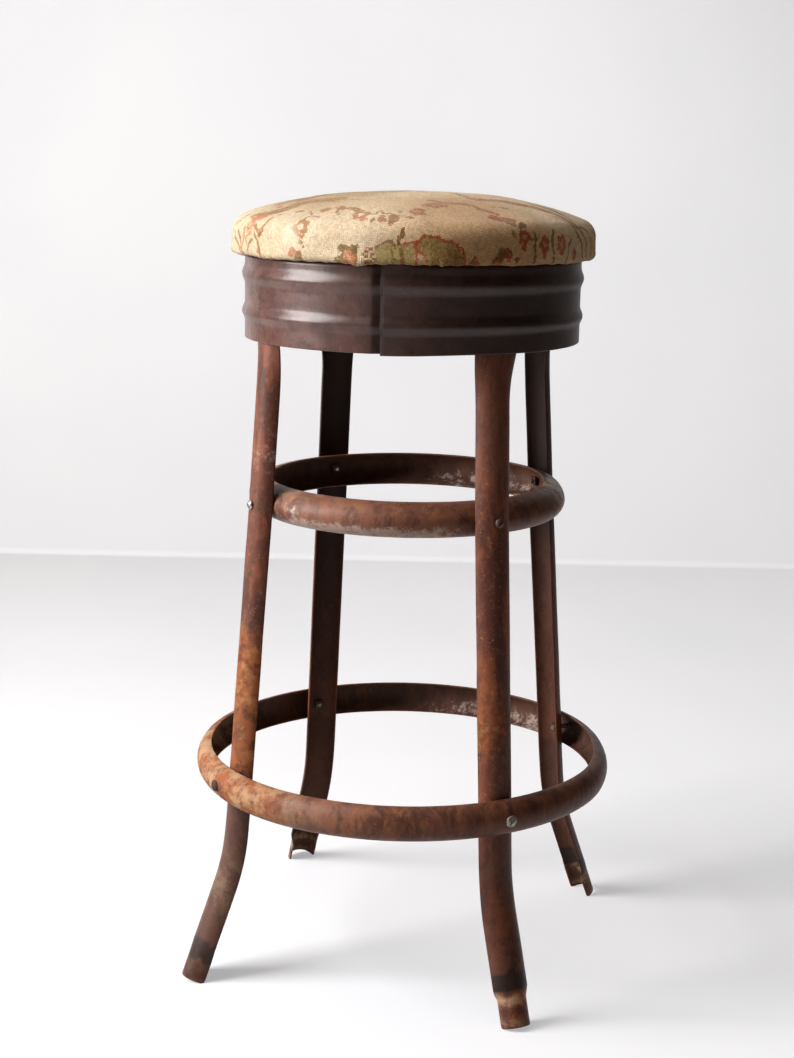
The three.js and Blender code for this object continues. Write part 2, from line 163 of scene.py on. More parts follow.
# Machine screws and square nuts at the rings
RING_SCREW_RADIUS = 0.0024
RING_SCREW_HEAD = 0.0047
LOWER_SCREW_HEAD = 0.0058
RING_SCREW_DOME = 0.0029
RING_SCREW_TAIL = 0.0025
NUT_WIDTH = 0.0088
NUT_THICKNESS = 0.0032
NUT_BEVEL = 0.0005
THREAD_PITCH = 0.0008
THREAD_DEPTH = 0.00025
HEAD_EDGE_SHARE = 0.96
HEAD_EDGE_RISE = 0.09
HEAD_ROUND_FROM = 0.16
HEAD_POINTS = 9
SCREW_POINTS = 40
NUT_HOLE_POINTS = 32
NUT_BEVEL_SHAPE = 0.6
CRISP_STEEL = math.radians(35)

# Wood screws into the seat
SEAT_SCREW_RADIUS = 0.0019
SEAT_SCREW_HEAD = 0.0038
SEAT_SCREW_DOME = 0.0022
SEAT_SCREW_BITE = 0.009
SEAT_SCREW_POINT = 0.004
SEAT_SCREW_CIRCLE = 0.144
SEAT_SCREW_SPREAD = 0.012

# Screw slots
SLOT_WIDTH = 0.0012
SLOT_DEPTH = 0.0013
SLOT_OVERRUN = 0.004

# Seat
BOARD_RADIUS = 0.17
BOARD_THICKNESS = 0.012
BOARD_CHAMFER = 0.0015
CLOTH_THICKNESS = 0.002
CUSHION_RADIUS = 0.1776
CUSHION_HEIGHT = 0.0617
CROWN_RADIUS = 0.765
CROWN_REACH = 0.1
HAUNCH_RADIUS = 0.3
SHOULDER_RADIUS = 0.018
TUCK_RADIUS = 0.006
COVER_MOUTH = 0.151
OVERHANG_REACH = 0.005
PADDING_INSET = 0.004
SEAT_POINTS = 96
CRISP_BOARD = math.radians(30)

# How the cushion has settled at its left and right: depth, and reach from the middle
LEFT_SETTLE = 0.0012
LEFT_SETTLE_REACH = (0, 0.1)
RIGHT_SETTLE = 0.0024
RIGHT_SETTLE_REACH = (0.12, 0.175)
SETTLE_HEIGHTS = (0.01, 0.03)

# Tacks, and the cover's puffs between them
TACK_COUNT = 16
TACK_CIRCLE = 0.1675
TACK_HEAD = 0.0021
TACK_DOME = 0.0009
TACK_ROUND_FROM = 0.2
TACK_HEAD_POINTS = 6
TACK_POINTS = 20
CRISP_TACK = math.radians(40)
TACK_PUFF = 0.0012
TACK_PUFF_TOP = 0.023

# The cover's stitches, dents and uneven lower edge
STITCH = 0.0021
STITCH_RISE = 0.00025
DENT_CELL = 0.045
DENT_DEPTH = 0.0006
PUCKER_CELL = 0.014
PUCKER_DEPTH = 0.0003
RIM_DISTANCES = (0.13, 0.2)
CROWN_FLAT = 0.1
WARP_CELL = 0.004
WARP_SHARE = 0.35
SAG_HEIGHTS = (0.002, 0.016)
EDGE_NOISES = ((0.0005, 5, 21), (0.0006, 1.6, 22))  # depth, degrees and seed

# The cushion's simulation
SIM_ROUND = 192
SIM_ROW = 0.0045
SIM_FRAMES = 20
SIM_START = 0.012
SIM_RIM = 0.15
SIM_TIGHT_SHARE = 0.012
SIM_SLACK_SHARE = 0.05
SIM_UNEVEN_SHARE = 0.6
SIM_UNEVEN_CELL = 0.35
SIM_TACK_HOLD = -0.75
SIM_SETTINGS = {
    "quality": 8,
    "mass": 0.2,
    "tension_stiffness": 20,
    "compression_stiffness": 20,
    "shear_stiffness": 6,
    "bending_stiffness": 0.25,
    "use_pressure": True,
    "uniform_pressure_force": 5,
    "vertex_group_mass": "held",
}
SWELL_SHARE = 0.5
SWELL_CAP = 0.0014
SWELL_DISTANCES = (0.04, 0.1)
SWELL_PASSES = 4

# Floor, wall and camera
CAMERA_DISTANCE = 1.7749
CAMERA_HEIGHT = 0.8081
CAMERA_TURN = math.radians(15.11)
CAMERA_PITCH = math.radians(78.2)
CAMERA_ROLL = math.radians(1.054)
CAMERA_LENS = 60.85
FLOOR_REACH = 7.0
WALL_DISTANCE = 1.78
WALL_BEND = 0.012
WALL_HEIGHT = 5.0
WALL_BEND_POINTS = 13

# Lamps: azimuth in degrees, distance, height, width, length, power, colour and the height aimed at
LAMPS = {
    "key": (-151, 2.1, 1.5, 1.2, 1.8, 98, (1.0, 0.97, 0.965), 0.6),
    "top": (-150, 0.8, 2.5, 1.2, 1.2, 10, (1.0, 0.99, 0.97), 0.4),
}

# The legs' places round the stool, and how far each one's screw slots are turned
PLACES = {
    "front_right": (math.radians(-45), math.radians(40)),
    "back_right": (math.radians(45), math.radians(-15)),
    "back_left": (math.radians(135), math.radians(65)),
    "front_left": (math.radians(-135), math.radians(-30)),
}

# Use has bent the legs a little sideways: degrees round the stool at the heights given
LEAN_HEIGHTS = (0, LOWER_RING_HEIGHT, UPPER_RING_HEIGHT, SKIRT_BOTTOM)
LEANS = {
    "front_right": (-1.85, -1.6, -1.4, -0.2),
    "back_right": (0.0, 0.6, 1.8, 1.7),
    "back_left": (0.0, 0.2, 0.6, 0.9),
    "front_left": (-0.4, 0.0, -0.2, -1.3),
}

# How tightly each foot's end is curled
TOE_CURLS = {
    "front_right": math.radians(104),
    "back_right": math.radians(92),
    "back_left": math.radians(92),
    "front_left": math.radians(88),
}

# Sizes that follow from the ones above
SKIRT_INSIDE = SKIRT_RADIUS - SKIRT_SHEET
SKIRT_TOP = SKIRT_BOTTOM + SKIRT_HEIGHT
TAB_TOP = SKIRT_TOP - SKIRT_SHEET - TOUCH_GAP
COVER_BOTTOM = SKIRT_TOP + TOUCH_GAP
BOARD_BOTTOM = COVER_BOTTOM + CLOTH_THICKNESS + TOUCH_GAP
BOARD_TOP = BOARD_BOTTOM + BOARD_THICKNESS
SPLAY = math.atan2(KNEE_RADIUS - LEG_TOP_RADIUS, SKIRT_BOTTOM - KNEE_HEIGHT)
KICK = math.atan2(FOOT_RADIUS - KNEE_RADIUS, KNEE_HEIGHT)
LOWER_RING_CROWN = LOWER_RING_EDGE + LOWER_RING_DEPTH
UPPER_RING_CROWN = UPPER_RING_EDGE + UPPER_RING_DEPTH
BEADS = ((LOWER_BEAD_HEIGHT, LOWER_BEAD_SPAN), (UPPER_BEAD_HEIGHT, UPPER_BEAD_SPAN))
RINGS = {
    "lower_foot_ring": (LOWER_RING_EDGE, LOWER_RING_DEPTH, LOWER_RING_HEIGHT),
    "upper_ring": (UPPER_RING_EDGE, UPPER_RING_DEPTH, UPPER_RING_HEIGHT),
}

# Numbers that the fixed random numbers are made with
HASH_PRIMES = (73856093, 19349663, 83492791)
HASH_FACTORS = (2654435, 1274126177)
HASH_SHIFTS = (13, 7)
HASH_MASK = 0xFFFFFF


# Numbers and meshes


def smoothstep(value, low, high):
    share = np.clip((np.asarray(value, dtype=float) - low) / (high - low), 0, 1)
    return share * share * (3 - 2 * share)


def bump_at(value, middle, width):
    """1 at the middle, falling smoothly to 0 at the width on each side."""
    return 1 - smoothstep(np.abs(np.asarray(value) - middle), 0, width)


def round_bump(azimuth, middle, reach):
    """1 in the direction of the middle, falling to 0 at the reach. Both are in degrees."""
    return bump_at(wrapped(azimuth - math.radians(middle)), 0, math.radians(reach))


def hashed(cells, seed):
    """A fixed random number from 0 to 1 for each whole-numbered cell."""
    total = np.full(cells.shape[:-1], seed * HASH_FACTORS[0], dtype=np.int64)
    for axis, prime in zip(range(cells.shape[-1]), HASH_PRIMES):
        total ^= cells[..., axis].astype(np.int64) * prime
    for shift in HASH_SHIFTS:
        total = (total ^ (total >> shift)) * HASH_FACTORS[1] & HASH_MASK
    return total / HASH_MASK


def noise_field(points, cell, seed):
    """Smooth noise from -1 to 1 at points with one, two or three coordinates."""
    scaled = np.asarray(points, dtype=float) / cell
    base = np.floor(scaled)
    part = scaled - base
    part = part * part * (3 - 2 * part)
    total = 0
    for corner in itertools.product((0, 1), repeat=scaled.shape[-1]):
        weight = np.prod(np.where(corner, part, 1 - part), axis=-1)
        total = total + weight * hashed(base + np.array(corner), seed)
    return 2 * total - 1


def wrapped(angle):
    """The angle brought between -pi and pi."""
    return (np.asarray(angle) + math.pi) % (2 * math.pi) - math.pi


def round_points(radius, azimuth, height):
    """Points at a radius from the stool's axis, in a direction and at a height."""
    rows = [radius * np.cos(azimuth), radius * np.sin(azimuth), height]
    return np.stack(np.broadcast_arrays(*rows), axis=-1)


def placed(name, data):
    """An object in the scene, made of a mesh, a lamp or a camera."""
    made = bpy.data.objects.new(name, data)
    bpy.context.scene.collection.objects.link(made)
    return made


def new_mesh(points, faces):
    mesh = bpy.data.meshes.new("mesh")
    mesh.from_pydata(np.asarray(points).reshape(-1, 3).tolist(), [], faces)
    mesh.update()
    return mesh


def smooth(mesh):
    mesh.polygons.foreach_set("use_smooth", [True] * len(mesh.polygons))


def add_piece(name, mesh, slot_name, material, *nodes, crisp=None):
    """A smooth piece that rides on the stool and stands for the CAD nodes named.
    Edges that turn by more than the crisp angle stay crisp."""
    mesh.name = name
    smooth(mesh)
    if crisp:
        mesh.set_sharp_from_angle(angle=crisp)
    mesh.materials.clear()
    mesh.materials.append(material)
    made = placed(name, mesh)
    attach(made, "root")
    if nodes:
        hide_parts(*nodes)
    return made


def skin_faces(count, size, closed):
    """Faces over count matching closed sections of size points.
    The last section joins the first if closed, and each end is capped otherwise."""
    faces = []
    for k in range(count if closed else count - 1):
        near = k * size
        far = (k + 1) % count * size
        for i in range(size):
            j = (i + 1) % size
            faces.append((near + i, near + j, far + j, far + i))
    if not closed:
        last = (count - 1) * size
        for i in range(size // 2 - 1):
            across = size - 1 - i
            faces.append((i, across, across - 1, i + 1))
            faces.append((last + i, last + i + 1, last + across - 1, last + across))
    return faces


def note(piece, **numbers):
    """Numbers at each vertex, by name, for the piece's material to read."""
    for name, values in numbers.items():
        layer = piece.data.attributes.new(name, "FLOAT", "POINT")
        layer.data.foreach_set("value", np.asarray(values, dtype=np.float32).ravel())


def spread_angles(limit, edge):
    """Angles from -limit to limit, closer together at the strip's rounded edges."""
    inner = np.linspace(-limit + 3 * edge, limit - 3 * edge, STRIP_POINTS)
    return np.r_[-limit, -limit + edge, inner, limit - edge, limit]


def rounded_sheet(sheet, count):
    """How deep each point of a strip's two faces is cut back to round the strip's edges."""
    cut = np.zeros(count)
    cut[[0, -1]] = sheet * EDGE_CUT_SHARE
    return cut


def inner_face(size):
    """0 on the outer face of a strip's section, 1 on its inner one, and between at the edges."""
    half = size // 2
    inner = np.r_[np.zeros(half), np.ones(half)]
    inner[[0, half - 1, half, -1]] = EDGE_INNER_SHARE
    return inner


# Legs


def rounded_line(corners, bends):
    """Corners of a line joined by straights and arcs, as pieces with their lengths."""
    pieces = []
    start = corners[0]
    for corner, before, after, radius in zip(corners[1:], corners, corners[2:], bends):
        back = (before - corner).normalized()
        ahead = (after - corner).normalized()
        half = back.angle(ahead) / 2
        enter = corner + back * (radius / math.tan(half))
        leave = corner + ahead * (radius / math.tan(half))
        centre = corner + (back + ahead).normalized() * (radius / math.sin(half))
        pieces.append(("line", start, enter, (enter - start).length))
        pieces.append(("arc", centre, enter - centre, leave - centre, radius))
        start = leave
    pieces.append(("line", start, corners[-1], (corners[-1] - start).length))
    return pieces


def line_length(piece):
    if piece[0] == "line":
        return piece[3]
    return piece[2].angle(piece[3]) * piece[4]


def walk_line(pieces, distance):
    """The point and the direction at a distance along a rounded line."""
    for piece in pieces:
        length = line_length(piece)
        if distance <= length or piece is pieces[-1]:
            break
        distance -= length
    if piece[0] == "line":
        _, start, end, _ = piece
        ahead = (end - start).normalized()
        return start + ahead * distance, ahead
    _, centre, first, last, radius = piece
    turn = distance / radius
    side = 1 if first.x * last.y - first.y * last.x > 0 else -1
    cosine, sine = math.cos(turn), math.sin(turn) * side
    arm = Vector((first.x * cosine - first.y * sine, first.x * sine + first.y * cosine))
    return centre + arm, Vector((-arm.y, arm.x)).normalized() * side


def leg_crown_radius(height):
    return KNEE_RADIUS - (height - KNEE_HEIGHT) * math.tan(SPLAY)


def strip_section(curl):
    """The curled strip's faces as side and depth behind the leg's outer line."""
    middle = LEG_STRIP / (2 * curl)
    angles = spread_angles(curl, LEG_SHEET * EDGE_REACH_SHARE / middle)
    cut = rounded_sheet(LEG_SHEET, len(angles))
    outer = middle + LEG_SHEET / 2
    inner = middle - LEG_SHEET / 2
    outside = np.stack([(outer - cut) * np.sin(angles), outer - (outer - cut) * np.cos(angles)])
    inside = np.stack([(inner + cut) * np.sin(angles), outer - (inner + cut) * np.cos(angles)])
    return np.concatenate([outside, inside[:, ::-1]], axis=1)


def leg_line(toe_curl):
    toe_middle = LEG_STRIP / (2 * toe_curl)
    toe_inner = toe_middle - LEG_SHEET / 2
    tip_depth = LEG_SHEET + toe_inner * (1 - math.cos(toe_curl))
    lift = tip_depth * math.sin(KICK) - FOOT_WEAR
    return rounded_line(
        [
            Vector((FOOT_RADIUS - lift * math.tan(KICK), lift)),
            Vector((KNEE_RADIUS, KNEE_HEIGHT)),
            Vector((leg_crown_radius(TAB_TOP), TAB_TOP)),
            Vector((leg_crown_radius(TAB_TOP) - TAB_LENGTH, TAB_TOP)),
        ],
        [KNEE_BEND, TAB_BEND],
    )


def leg_stations(line):
    """Distances along the leg, closer together at the tab's bend, and where the opening is."""
    lengths = [line_length(piece) for piece in line]
    knee_end = lengths[0] + lengths[1]
    bend_start = knee_end + lengths[2]
    middle = knee_end + (SKIRT_BOTTOM - KNEE_HEIGHT) / math.cos(SPLAY)
    middle -= KNEE_BEND * math.tan((KICK - SPLAY) / 2)
    bend_end = bend_start + lengths[3]
    stations = np.r_[
        np.arange(0, bend_start, LEG_STATION),
        np.linspace(bend_start, bend_end, TAB_BEND_POINTS),
        np.linspace(bend_end, sum(lengths), TAB_POINTS)[1:],
    ]
    return stations, middle


def lean_at(place, height):
    """How far round the stool a leg has been bent from its place at a height."""
    return np.radians(np.interp(height, LEAN_HEIGHTS, LEANS[place]))


def leg_curl(place, distance, opening):
    """Half the angle that the strip is curled through, at a distance from the toe's end."""
    opened = smoothstep(distance, opening - OPENING_REACH, opening + OPENING_REACH)
    shin = 1 - smoothstep(distance, SHIN_TOP - TOE_LENGTH, SHIN_TOP + TOE_LENGTH)
    toe = 1 - smoothstep(distance, TOE_LENGTH - TOE_BLEND_BELOW, TOE_LENGTH + TOE_BLEND_ABOVE)
    curl = SHANK_CURL + (SHIN_CURL - SHANK_CURL) * shin
    curl = curl + (TOE_CURLS[place] - curl) * toe
    return float(curl + (TAB_CURL - curl) * opened)


def add_leg(place, azimuth, paint):
    line = leg_line(TOE_CURLS[place])
    stations, opening = leg_stations(line)
    sections = []
    for distance in stations:
        point, ahead = walk_line(line, distance)
        side, depth = strip_section(leg_curl(place, distance, opening))
        out = point.x - depth * ahead.y
        turn = azimuth + lean_at(place, point.y)
        x = out * math.cos(turn) - side * math.sin(turn)
        y = out * math.sin(turn) + side * math.cos(turn)
        sections.append(np.stack([x, y, point.y + depth * ahead.x], axis=-1))
    points = np.array(sections)
    count, size = points.shape[:2]
    wave = noise_field(points, LEG_WAVE_CELL, 3)[..., None]
    free = 1 - smoothstep(stations, opening - OPENING_REACH, opening)[:, None, None]
    outward = np.array([math.cos(azimuth), math.sin(azimuth), 0])
    points = points + outward * wave * free * LEG_WAVE
    points[..., 2] = np.maximum(points[..., 2], 0)
    mesh = new_mesh(points, skin_faces(count, size, False))
    leg = add_piece(f"leg_{place}_strip", mesh, "leg_paint", paint, f"leg_{place}")
    across = np.r_[np.linspace(-1, 1, size // 2), np.linspace(1, -1, size // 2)]
    note(leg, inner=np.tile(inner_face(size), count))
    note_leg_wear_and_shade(leg, place, np.repeat(stations, size), np.tile(across, count))


# Where the paint has gone along each leg: middle, reach and strength, from the toe up
RUST_BANDS = {
    "front_left": [(0.31, 0.13, 0.46), (0.22, 0.06, 0.3), (0.42, 0.06, 0.14), (0.02, 0.04, 0.2)],
    "front_right": [(0.12, 0.07, 0.18), (0.29, 0.08, 0.34), (0.4, 0.1, 0.12), (0.02, 0.04, 0.22)],
    "back_left": [(0.25, 0.10, 0.2), (0.05, 0.06, 0.2)],
    "back_right": [(0.32, 0.12, 0.15), (0.05, 0.06, 0.2)],
}
STAIN_BANDS = {
    "front_left": [(0.032, 0.0115, 1.0), (0.012, 0.013, 0.89), (0.12, 0.09, 0.6)],
    "front_right": [(0.0425, 0.0115, 1.0), (0.13, 0.085, 0.6), (0.014, 0.014, 0.3)],
    "back_left": [(0.04, 0.014, 0.7), (0.10, 0.09, 0.4)],
    "back_right": [(0.04, 0.014, 0.7), (0.10, 0.09, 0.4)],
}
STAIN_FADE_IN = 0.004
STAIN_FADE_OUT = 0.003
STAIN_TOP_SHARE = 0.88

# The stains' ragged edge: depth, waves across the strip and waves along it
RAGGED_WAVES = ((0.0014, 5, 90), (0.0012, 11, 0))

# Where painted shade and dust begin along a leg and where they are full. The back legs' shade stands
# for the skirt's shadow, and the upper dust is partly a painted sheen
BACK_SHADE = (0.05, 0.5)
SHIN_DUST = (0.03, 0.05)
SHANK_CLEAN = (0.12, 0.24)
UPPER_DUST_AND_SHEEN = (0.44, 0.58)

# Middle and reach along a leg of bare metal and of ochre
UPPER_BARE = (0.53, 0.05)
SHIN_OCHRE = (0.1, 0.05)
TIP_OCHRE = (0.003, 0.008)

# Ochre below each leg's first stain band and a dusty rim above it
EDGE_OCHRE_DROP = 0.005
EDGE_OCHRE_REACH = 0.009
DUSTY_RIM_RISE = 0.0008
DUSTY_RIM_REACH = 0.0028


def note_leg_wear_and_shade(leg, place, along, across):
    """Rust, stain, ochre, dust and bare metal along a leg, as numbers at its vertices. The back legs
    carry painted shade in the stain numbers, and the upper dust is partly a painted sheen.
    """
    left = place == "front_left"
    rust = sum(bump_at(along, middle, reach) * top for middle, reach, top in RUST_BANDS[place])
    ragged = along
    for depth, waves, climb in RAGGED_WAVES:
        ragged = ragged + depth * np.sin(across * waves + along * climb)
    stain = 0
    for middle, reach, strength in STAIN_BANDS[place]:
        low, high = middle - reach, middle + reach
        inside = smoothstep(ragged, low, low + STAIN_FADE_IN)
        stain = stain + inside * (1 - smoothstep(ragged, high - STAIN_FADE_OUT, high)) * strength
    # Painted shade on the back legs, darkest near the top under the skirt
    shade = smoothstep(along, *BACK_SHADE) * place.startswith("back")
    top = np.where(np.maximum(stain, shade) > 0.9, 1, STAIN_TOP_SHARE)
    middle, reach, _ = STAIN_BANDS[place][0]
    edge = bump_at(ragged, middle - reach - EDGE_OCHRE_DROP, EDGE_OCHRE_REACH)
    rim = bump_at(ragged, middle + reach + DUSTY_RIM_RISE, DUSTY_RIM_REACH)
    dust = 0.5 * smoothstep(along, *SHIN_DUST) * (1 - smoothstep(along, *SHANK_CLEAN)) + 0.25
    if left:
        ochre = 0.1 * edge + 0.35 * bump_at(along, *SHIN_OCHRE)
        dust = dust + rim
    else:
        ochre = 0.9 * edge + 0.6 * bump_at(along, *TIP_OCHRE)
        # The upper dust is partly a painted sheen
        dust = 0.2 * dust + 0.5 * smoothstep(along, *UPPER_DUST_AND_SHEEN)
    note(
        leg,
        rust=rust,
        stain=np.clip(stain + shade, 0, top),
        ochre=ochre,
        dust=np.clip(dust, 0, 1),
        bare=0.5 * bump_at(along, *UPPER_BARE) * left,
    )


# Rings


def ring_section(edge, depth, height):
    angles = spread_angles(math.pi / 2, RING_EDGE_ANGLE)
    cut = rounded_sheet(RING_SHEET, len(angles))
    out_r = edge + (depth - cut) * np.cos(angles)
    out_z = height + (RING_HALF_FACE - cut) * np.sin(angles)
    in_r = edge + (depth - RING_SHEET + cut) * np.cos(angles)
    in_z = height + (RING_HALF_FACE - RING_SHEET + cut) * np.sin(angles)
    return np.r_[out_r, in_r[::-1]], np.r_[out_z, in_z[::-1]]


def add_ring(name, paint, seed):
    edge, depth, height = RINGS[name]
    radius, level = ring_section(edge, depth, height)
    azimuth = np.linspace(0, 2 * math.pi, RING_POINTS, endpoint=False)[:, None]
    wave = noise_field(round_points(radius, azimuth, 0)[..., :2], LEG_WAVE_CELL, seed)
    away = np.abs(wrapped(4 * (azimuth - math.pi / 4))) / math.pi
    reach = radius + wave * RING_WAVE * smoothstep(away, *RING_WAVE_SHARES)
    reach = reach + RING_BENDS[name] * round_bump(azimuth, VIEW_DEGREES, RING_BEND_REACH)
    faces = skin_faces(RING_POINTS, len(radius), True)
    mesh = new_mesh(round_points(reach, azimuth, level), faces)
    ring = add_piece(f"{name}_channel", mesh, "ring_paint", paint, name)
    note(ring, inner=np.tile(inner_face(len(radius)), RING_POINTS))
    note_ring_wear_light_and_shade(ring, name, azimuth, (level - height) / RING_HALF_FACE)


def note_ring_wear_light_and_shade(ring, name, azimuth, lift):
    """Wear round a ring, with paler ochre and dust on the lit side that are partly painted light, and
    painted shade away from it and inside at the back. lift is -1 at its lower edge and 1 at its upper
    edge.
    """
    azimuth = np.broadcast_to(azimuth, (len(azimuth), len(lift)))
    turned = np.abs(wrapped(azimuth - math.radians(LIGHT_SIDE))) / math.pi
    inside = np.arange(len(lift)) >= len(lift) // 2
    # Paler ochre and dust on the lit side, partly painted light
    ochre = 0.7 * (1 - smoothstep(turned, *LIT_OCHRE_SHARES))
    rust = 0.4 * (1 - smoothstep(turned, *LIT_RUST_SHARES)) + 0.08
    # Darker away from the light side and inside at the back: painted shade
    stain = 0.5 * smoothstep(turned, *SHADE_SIDE_SHARES)
    stain = stain + 0.6 * inside * round_bump(azimuth, *SHADED_BEHIND)
    bare = 0.7 * inside * round_bump(azimuth, *DUSTY_INSIDE) * (1 - smoothstep(lift, -0.6, 0.6))
    if name == "upper_ring":
        chalk = np.clip(1.5 * round_bump(azimuth, *UPPER_CHALK), 0, 0.88)
        chalk = chalk * (1 - smoothstep(lift, -0.55, 0.3))
        specks = 0.6 * round_bump(azimuth, *UPPER_SPECKS) * bump_at(lift, 0.1, 0.7)
        bare = bare + (1 - inside) * np.maximum(chalk, specks)
        rust = 0.4 * rust
        ochre = 0.4 * ochre + round_bump(azimuth, *UPPER_OCHRE)
    else:
        bare = bare + 0.35 * (1 - inside) * round_bump(azimuth, *LOWER_BARE) * bump_at(lift, 0.1, 0.8)
    note(
        ring,
        rust=rust,
        stain=np.clip(stain, 0, 1),
        ochre=np.clip(ochre, 0, 1),
        dust=0.25 * (1 - smoothstep(turned, *LIT_DUST_SHARES)),
        bare=bare,
    )


# Skirt


def skirt_profile():
    """The skirt's wall, bend and flange as outer and inner radius and height, bottom first."""
    heights = [np.array([0, SKIRT_SHEET * EDGE_REACH_SHARE, SKIRT_SHEET])]
    for middle, span in BEADS:
        low, high = middle - span / 2, middle + span / 2
        heights.append(np.linspace(heights[-1][-1], low, FLAT_POINTS)[1:-1])
        heights.append(np.linspace(low, high, BEAD_POINTS))
    bend_height = SKIRT_HEIGHT - SKIRT_BEND
    heights.append(np.linspace(heights[-1][-1], bend_height, FLAT_POINTS)[1:-1])
    heights = np.concatenate(heights)
    rise = bead_rise(heights)
    cut = np.zeros(len(heights))
    cut[0] = SKIRT_SHEET * EDGE_CUT_SHARE
    angles = np.linspace(0, math.pi / 2, BEND_POINTS)
    middle = SKIRT_RADIUS - SKIRT_BEND
    rim = np.linspace(middle, SKIRT_RADIUS - FLANGE_WIDTH, FLANGE_POINTS + 1)[1:]
    faces = []
    for face, inset in ((SKIRT_RADIUS + rise - cut, 0), (SKIRT_INSIDE + rise + cut, SKIRT_SHEET)):
        bend = SKIRT_BEND - inset
        flange = [rim, np.full(FLANGE_POINTS, SKIRT_HEIGHT - inset)]
        turned = [middle + bend * np.cos(angles), bend_height + bend * np.sin(angles)]
        faces.append(np.concatenate([[face, heights], turned, flange], axis=1))
    return faces


def bead_rise(heights):
    rise = np.zeros_like(heights)
    for middle, span in BEADS:
        share = np.clip((heights - middle) / (span / 2), -1, 1)
        rise = rise + BEAD_RISE * (1 + np.cos(math.pi * share)) / 2
    return rise


def straightened(face, offset):
    """A skirt face whose bend and flange are turned straight up, for the seam's end."""
    bent = BEND_POINTS + FLANGE_POINTS
    radius, height = np.array(face)
    radius[-bent:] = SKIRT_RADIUS - offset
    height[-bent:] = np.linspace(SKIRT_HEIGHT - SKIRT_BEND, SKIRT_HEIGHT, bent)
    return np.stack([radius, height])


def skirt_stations():
    """Angles round the skirt from its inner end to its outer one, closer where it changes."""
    lap = SEAM_LAP / SKIRT_RADIUS
    slope = SEAM_SLOPE / SKIRT_RADIUS
    notch = (SEAM_LAP + SEAM_NOTCH) / SKIRT_RADIUS
    roll = SEAM_ROLL_REACH / SKIRT_RADIUS
    end = 2 * math.pi + lap
    flanged = np.r_[
        np.linspace(0, lap, LAP_POINTS),
        np.linspace(lap, lap + slope, SLOPE_POINTS)[1:],
        np.linspace(lap + slope, end - notch, ROUND_POINTS)[1:],
    ]
    plain = np.r_[
        np.linspace(end - notch + SKIRT_SHEET / SKIRT_RADIUS, end - roll, END_POINTS),
        np.linspace(end - roll, end, ROLL_POINTS)[1:],
    ]
    return flanged, plain


def add_skirt(paint):
    """The skirt's sheet. Its inner end dips under its outer end, whose edge rolls in."""
    lap = SEAM_LAP / SKIRT_RADIUS
    end = 2 * math.pi + lap
    outer, inner = skirt_profile()
    bent = np.concatenate([outer, inner[:, ::-1]], axis=1)
    flat_inner = straightened(inner, SKIRT_SHEET)
    flat = np.concatenate([straightened(outer, 0), flat_inner[:, ::-1]], axis=1)
    flanged, plain = skirt_stations()
    angles = np.r_[flanged, plain][:, None]
    radius, height = np.array([bent] * len(flanged) + [flat] * len(plain)).transpose(1, 0, 2)
    sink = 1 - smoothstep(angles, lap * SEAM_SINK_SHARE, lap + SEAM_SLOPE / SKIRT_RADIUS)
    roll = np.clip((angles - end) * SKIRT_RADIUS / SEAM_ROLL_REACH + 1, 0, 1)
    radius = radius - SEAM_SINK * sink - SEAM_ROLL * roll**2
    drop = SEAM_DROP * smoothstep(angles, end - SEAM_DROP_REACH / SKIRT_RADIUS, end)
    height = height - drop * (1 - smoothstep(height, 0, SKIRT_HEIGHT * SEAM_DROP_SHARE))
    azimuth = SEAM_ANGLE + lap - angles
    points = round_points(radius, azimuth, SKIRT_BOTTOM + height)
    wave = noise_field(points, LEG_WAVE_CELL, 5)[..., None]
    free = smoothstep(angles, lap, 2 * lap)[..., None] * (angles < plain[0])[..., None]
    points = points + points * np.array([1, 1, 0]) / SKIRT_RADIUS * wave * free * SKIRT_WAVE
    count, size = points.shape[:2]
    mesh = new_mesh(points, skin_faces(count, size, False))
    skirt = add_piece("skirt_sheet", mesh, "skirt_paint", paint, "skirt_band")
    inner_and_shaded_end = np.tile(np.r_[np.zeros(size // 2), np.ones(size // 2)], (count, 1))
    # The outer end's last rows take the darker inner paint too: painted shade at the seam
    inner_and_shaded_end[-SEAM_SHADED_ROWS:] = 1
    note(skirt, inner=inner_and_shaded_end)
    note_skirt_shade_and_rust(skirt, azimuth, height)


def note_skirt_shade_and_rust(skirt, azimuth, height):
    """Where the skirt's paint is darker, which is painted shade on its right side, at the seam and on
    the outer end, and where rust shows through.
    """
    azimuth = np.broadcast_to(azimuth, height.shape)
    away = np.abs(wrapped(azimuth - math.radians(SKIRT_SHADED_SIDE)))
    right = 1 - smoothstep(away, *np.radians(SKIRT_SHADE_REACH))
    low = 1 - smoothstep(height, *SKIRT_RUST_HEIGHTS)
    seam = round_bump(azimuth, SEAM_DEGREES, SEAM_SHADE_REACH)
    end = np.zeros_like(height)
    end[-SEAM_SHADED_ROWS:] = 1
    # The darkening written here is painted shade, on the right side, at the seam and on the outer end
    note(skirt, stain=np.clip(0.75 * right + 0.3 * seam + end, 0, 1), rust=0.35 * low + 0.1 * seam)


# Screws, nuts and tacks


def turned_faces(profile, count):
    """Points and faces of a solid turned about +Z from radius and height pairs, axis to axis."""
    angle = np.linspace(0, 2 * math.pi, count, endpoint=False)
    points = [(0.0, 0.0, profile[0][1])]
    for radius, height in profile[1:-1]:
        points.extend((radius * math.cos(a), radius * math.sin(a), height) for a in angle)
    points.append((0.0, 0.0, profile[-1][1]))
    faces = []
    rows = len(profile) - 2
    for i in range(count):
        j = (i + 1) % count
        faces.append((0, 1 + j, 1 + i))
        for k in range(rows - 1):
            low, high = 1 + k * count, 1 + (k + 1) * count
            faces.append((low + i, low + j, high + j, high + i))
        top = 1 + (rows - 1) * count
        faces.append((top + i, top + j, len(points) - 1))
    return points, faces


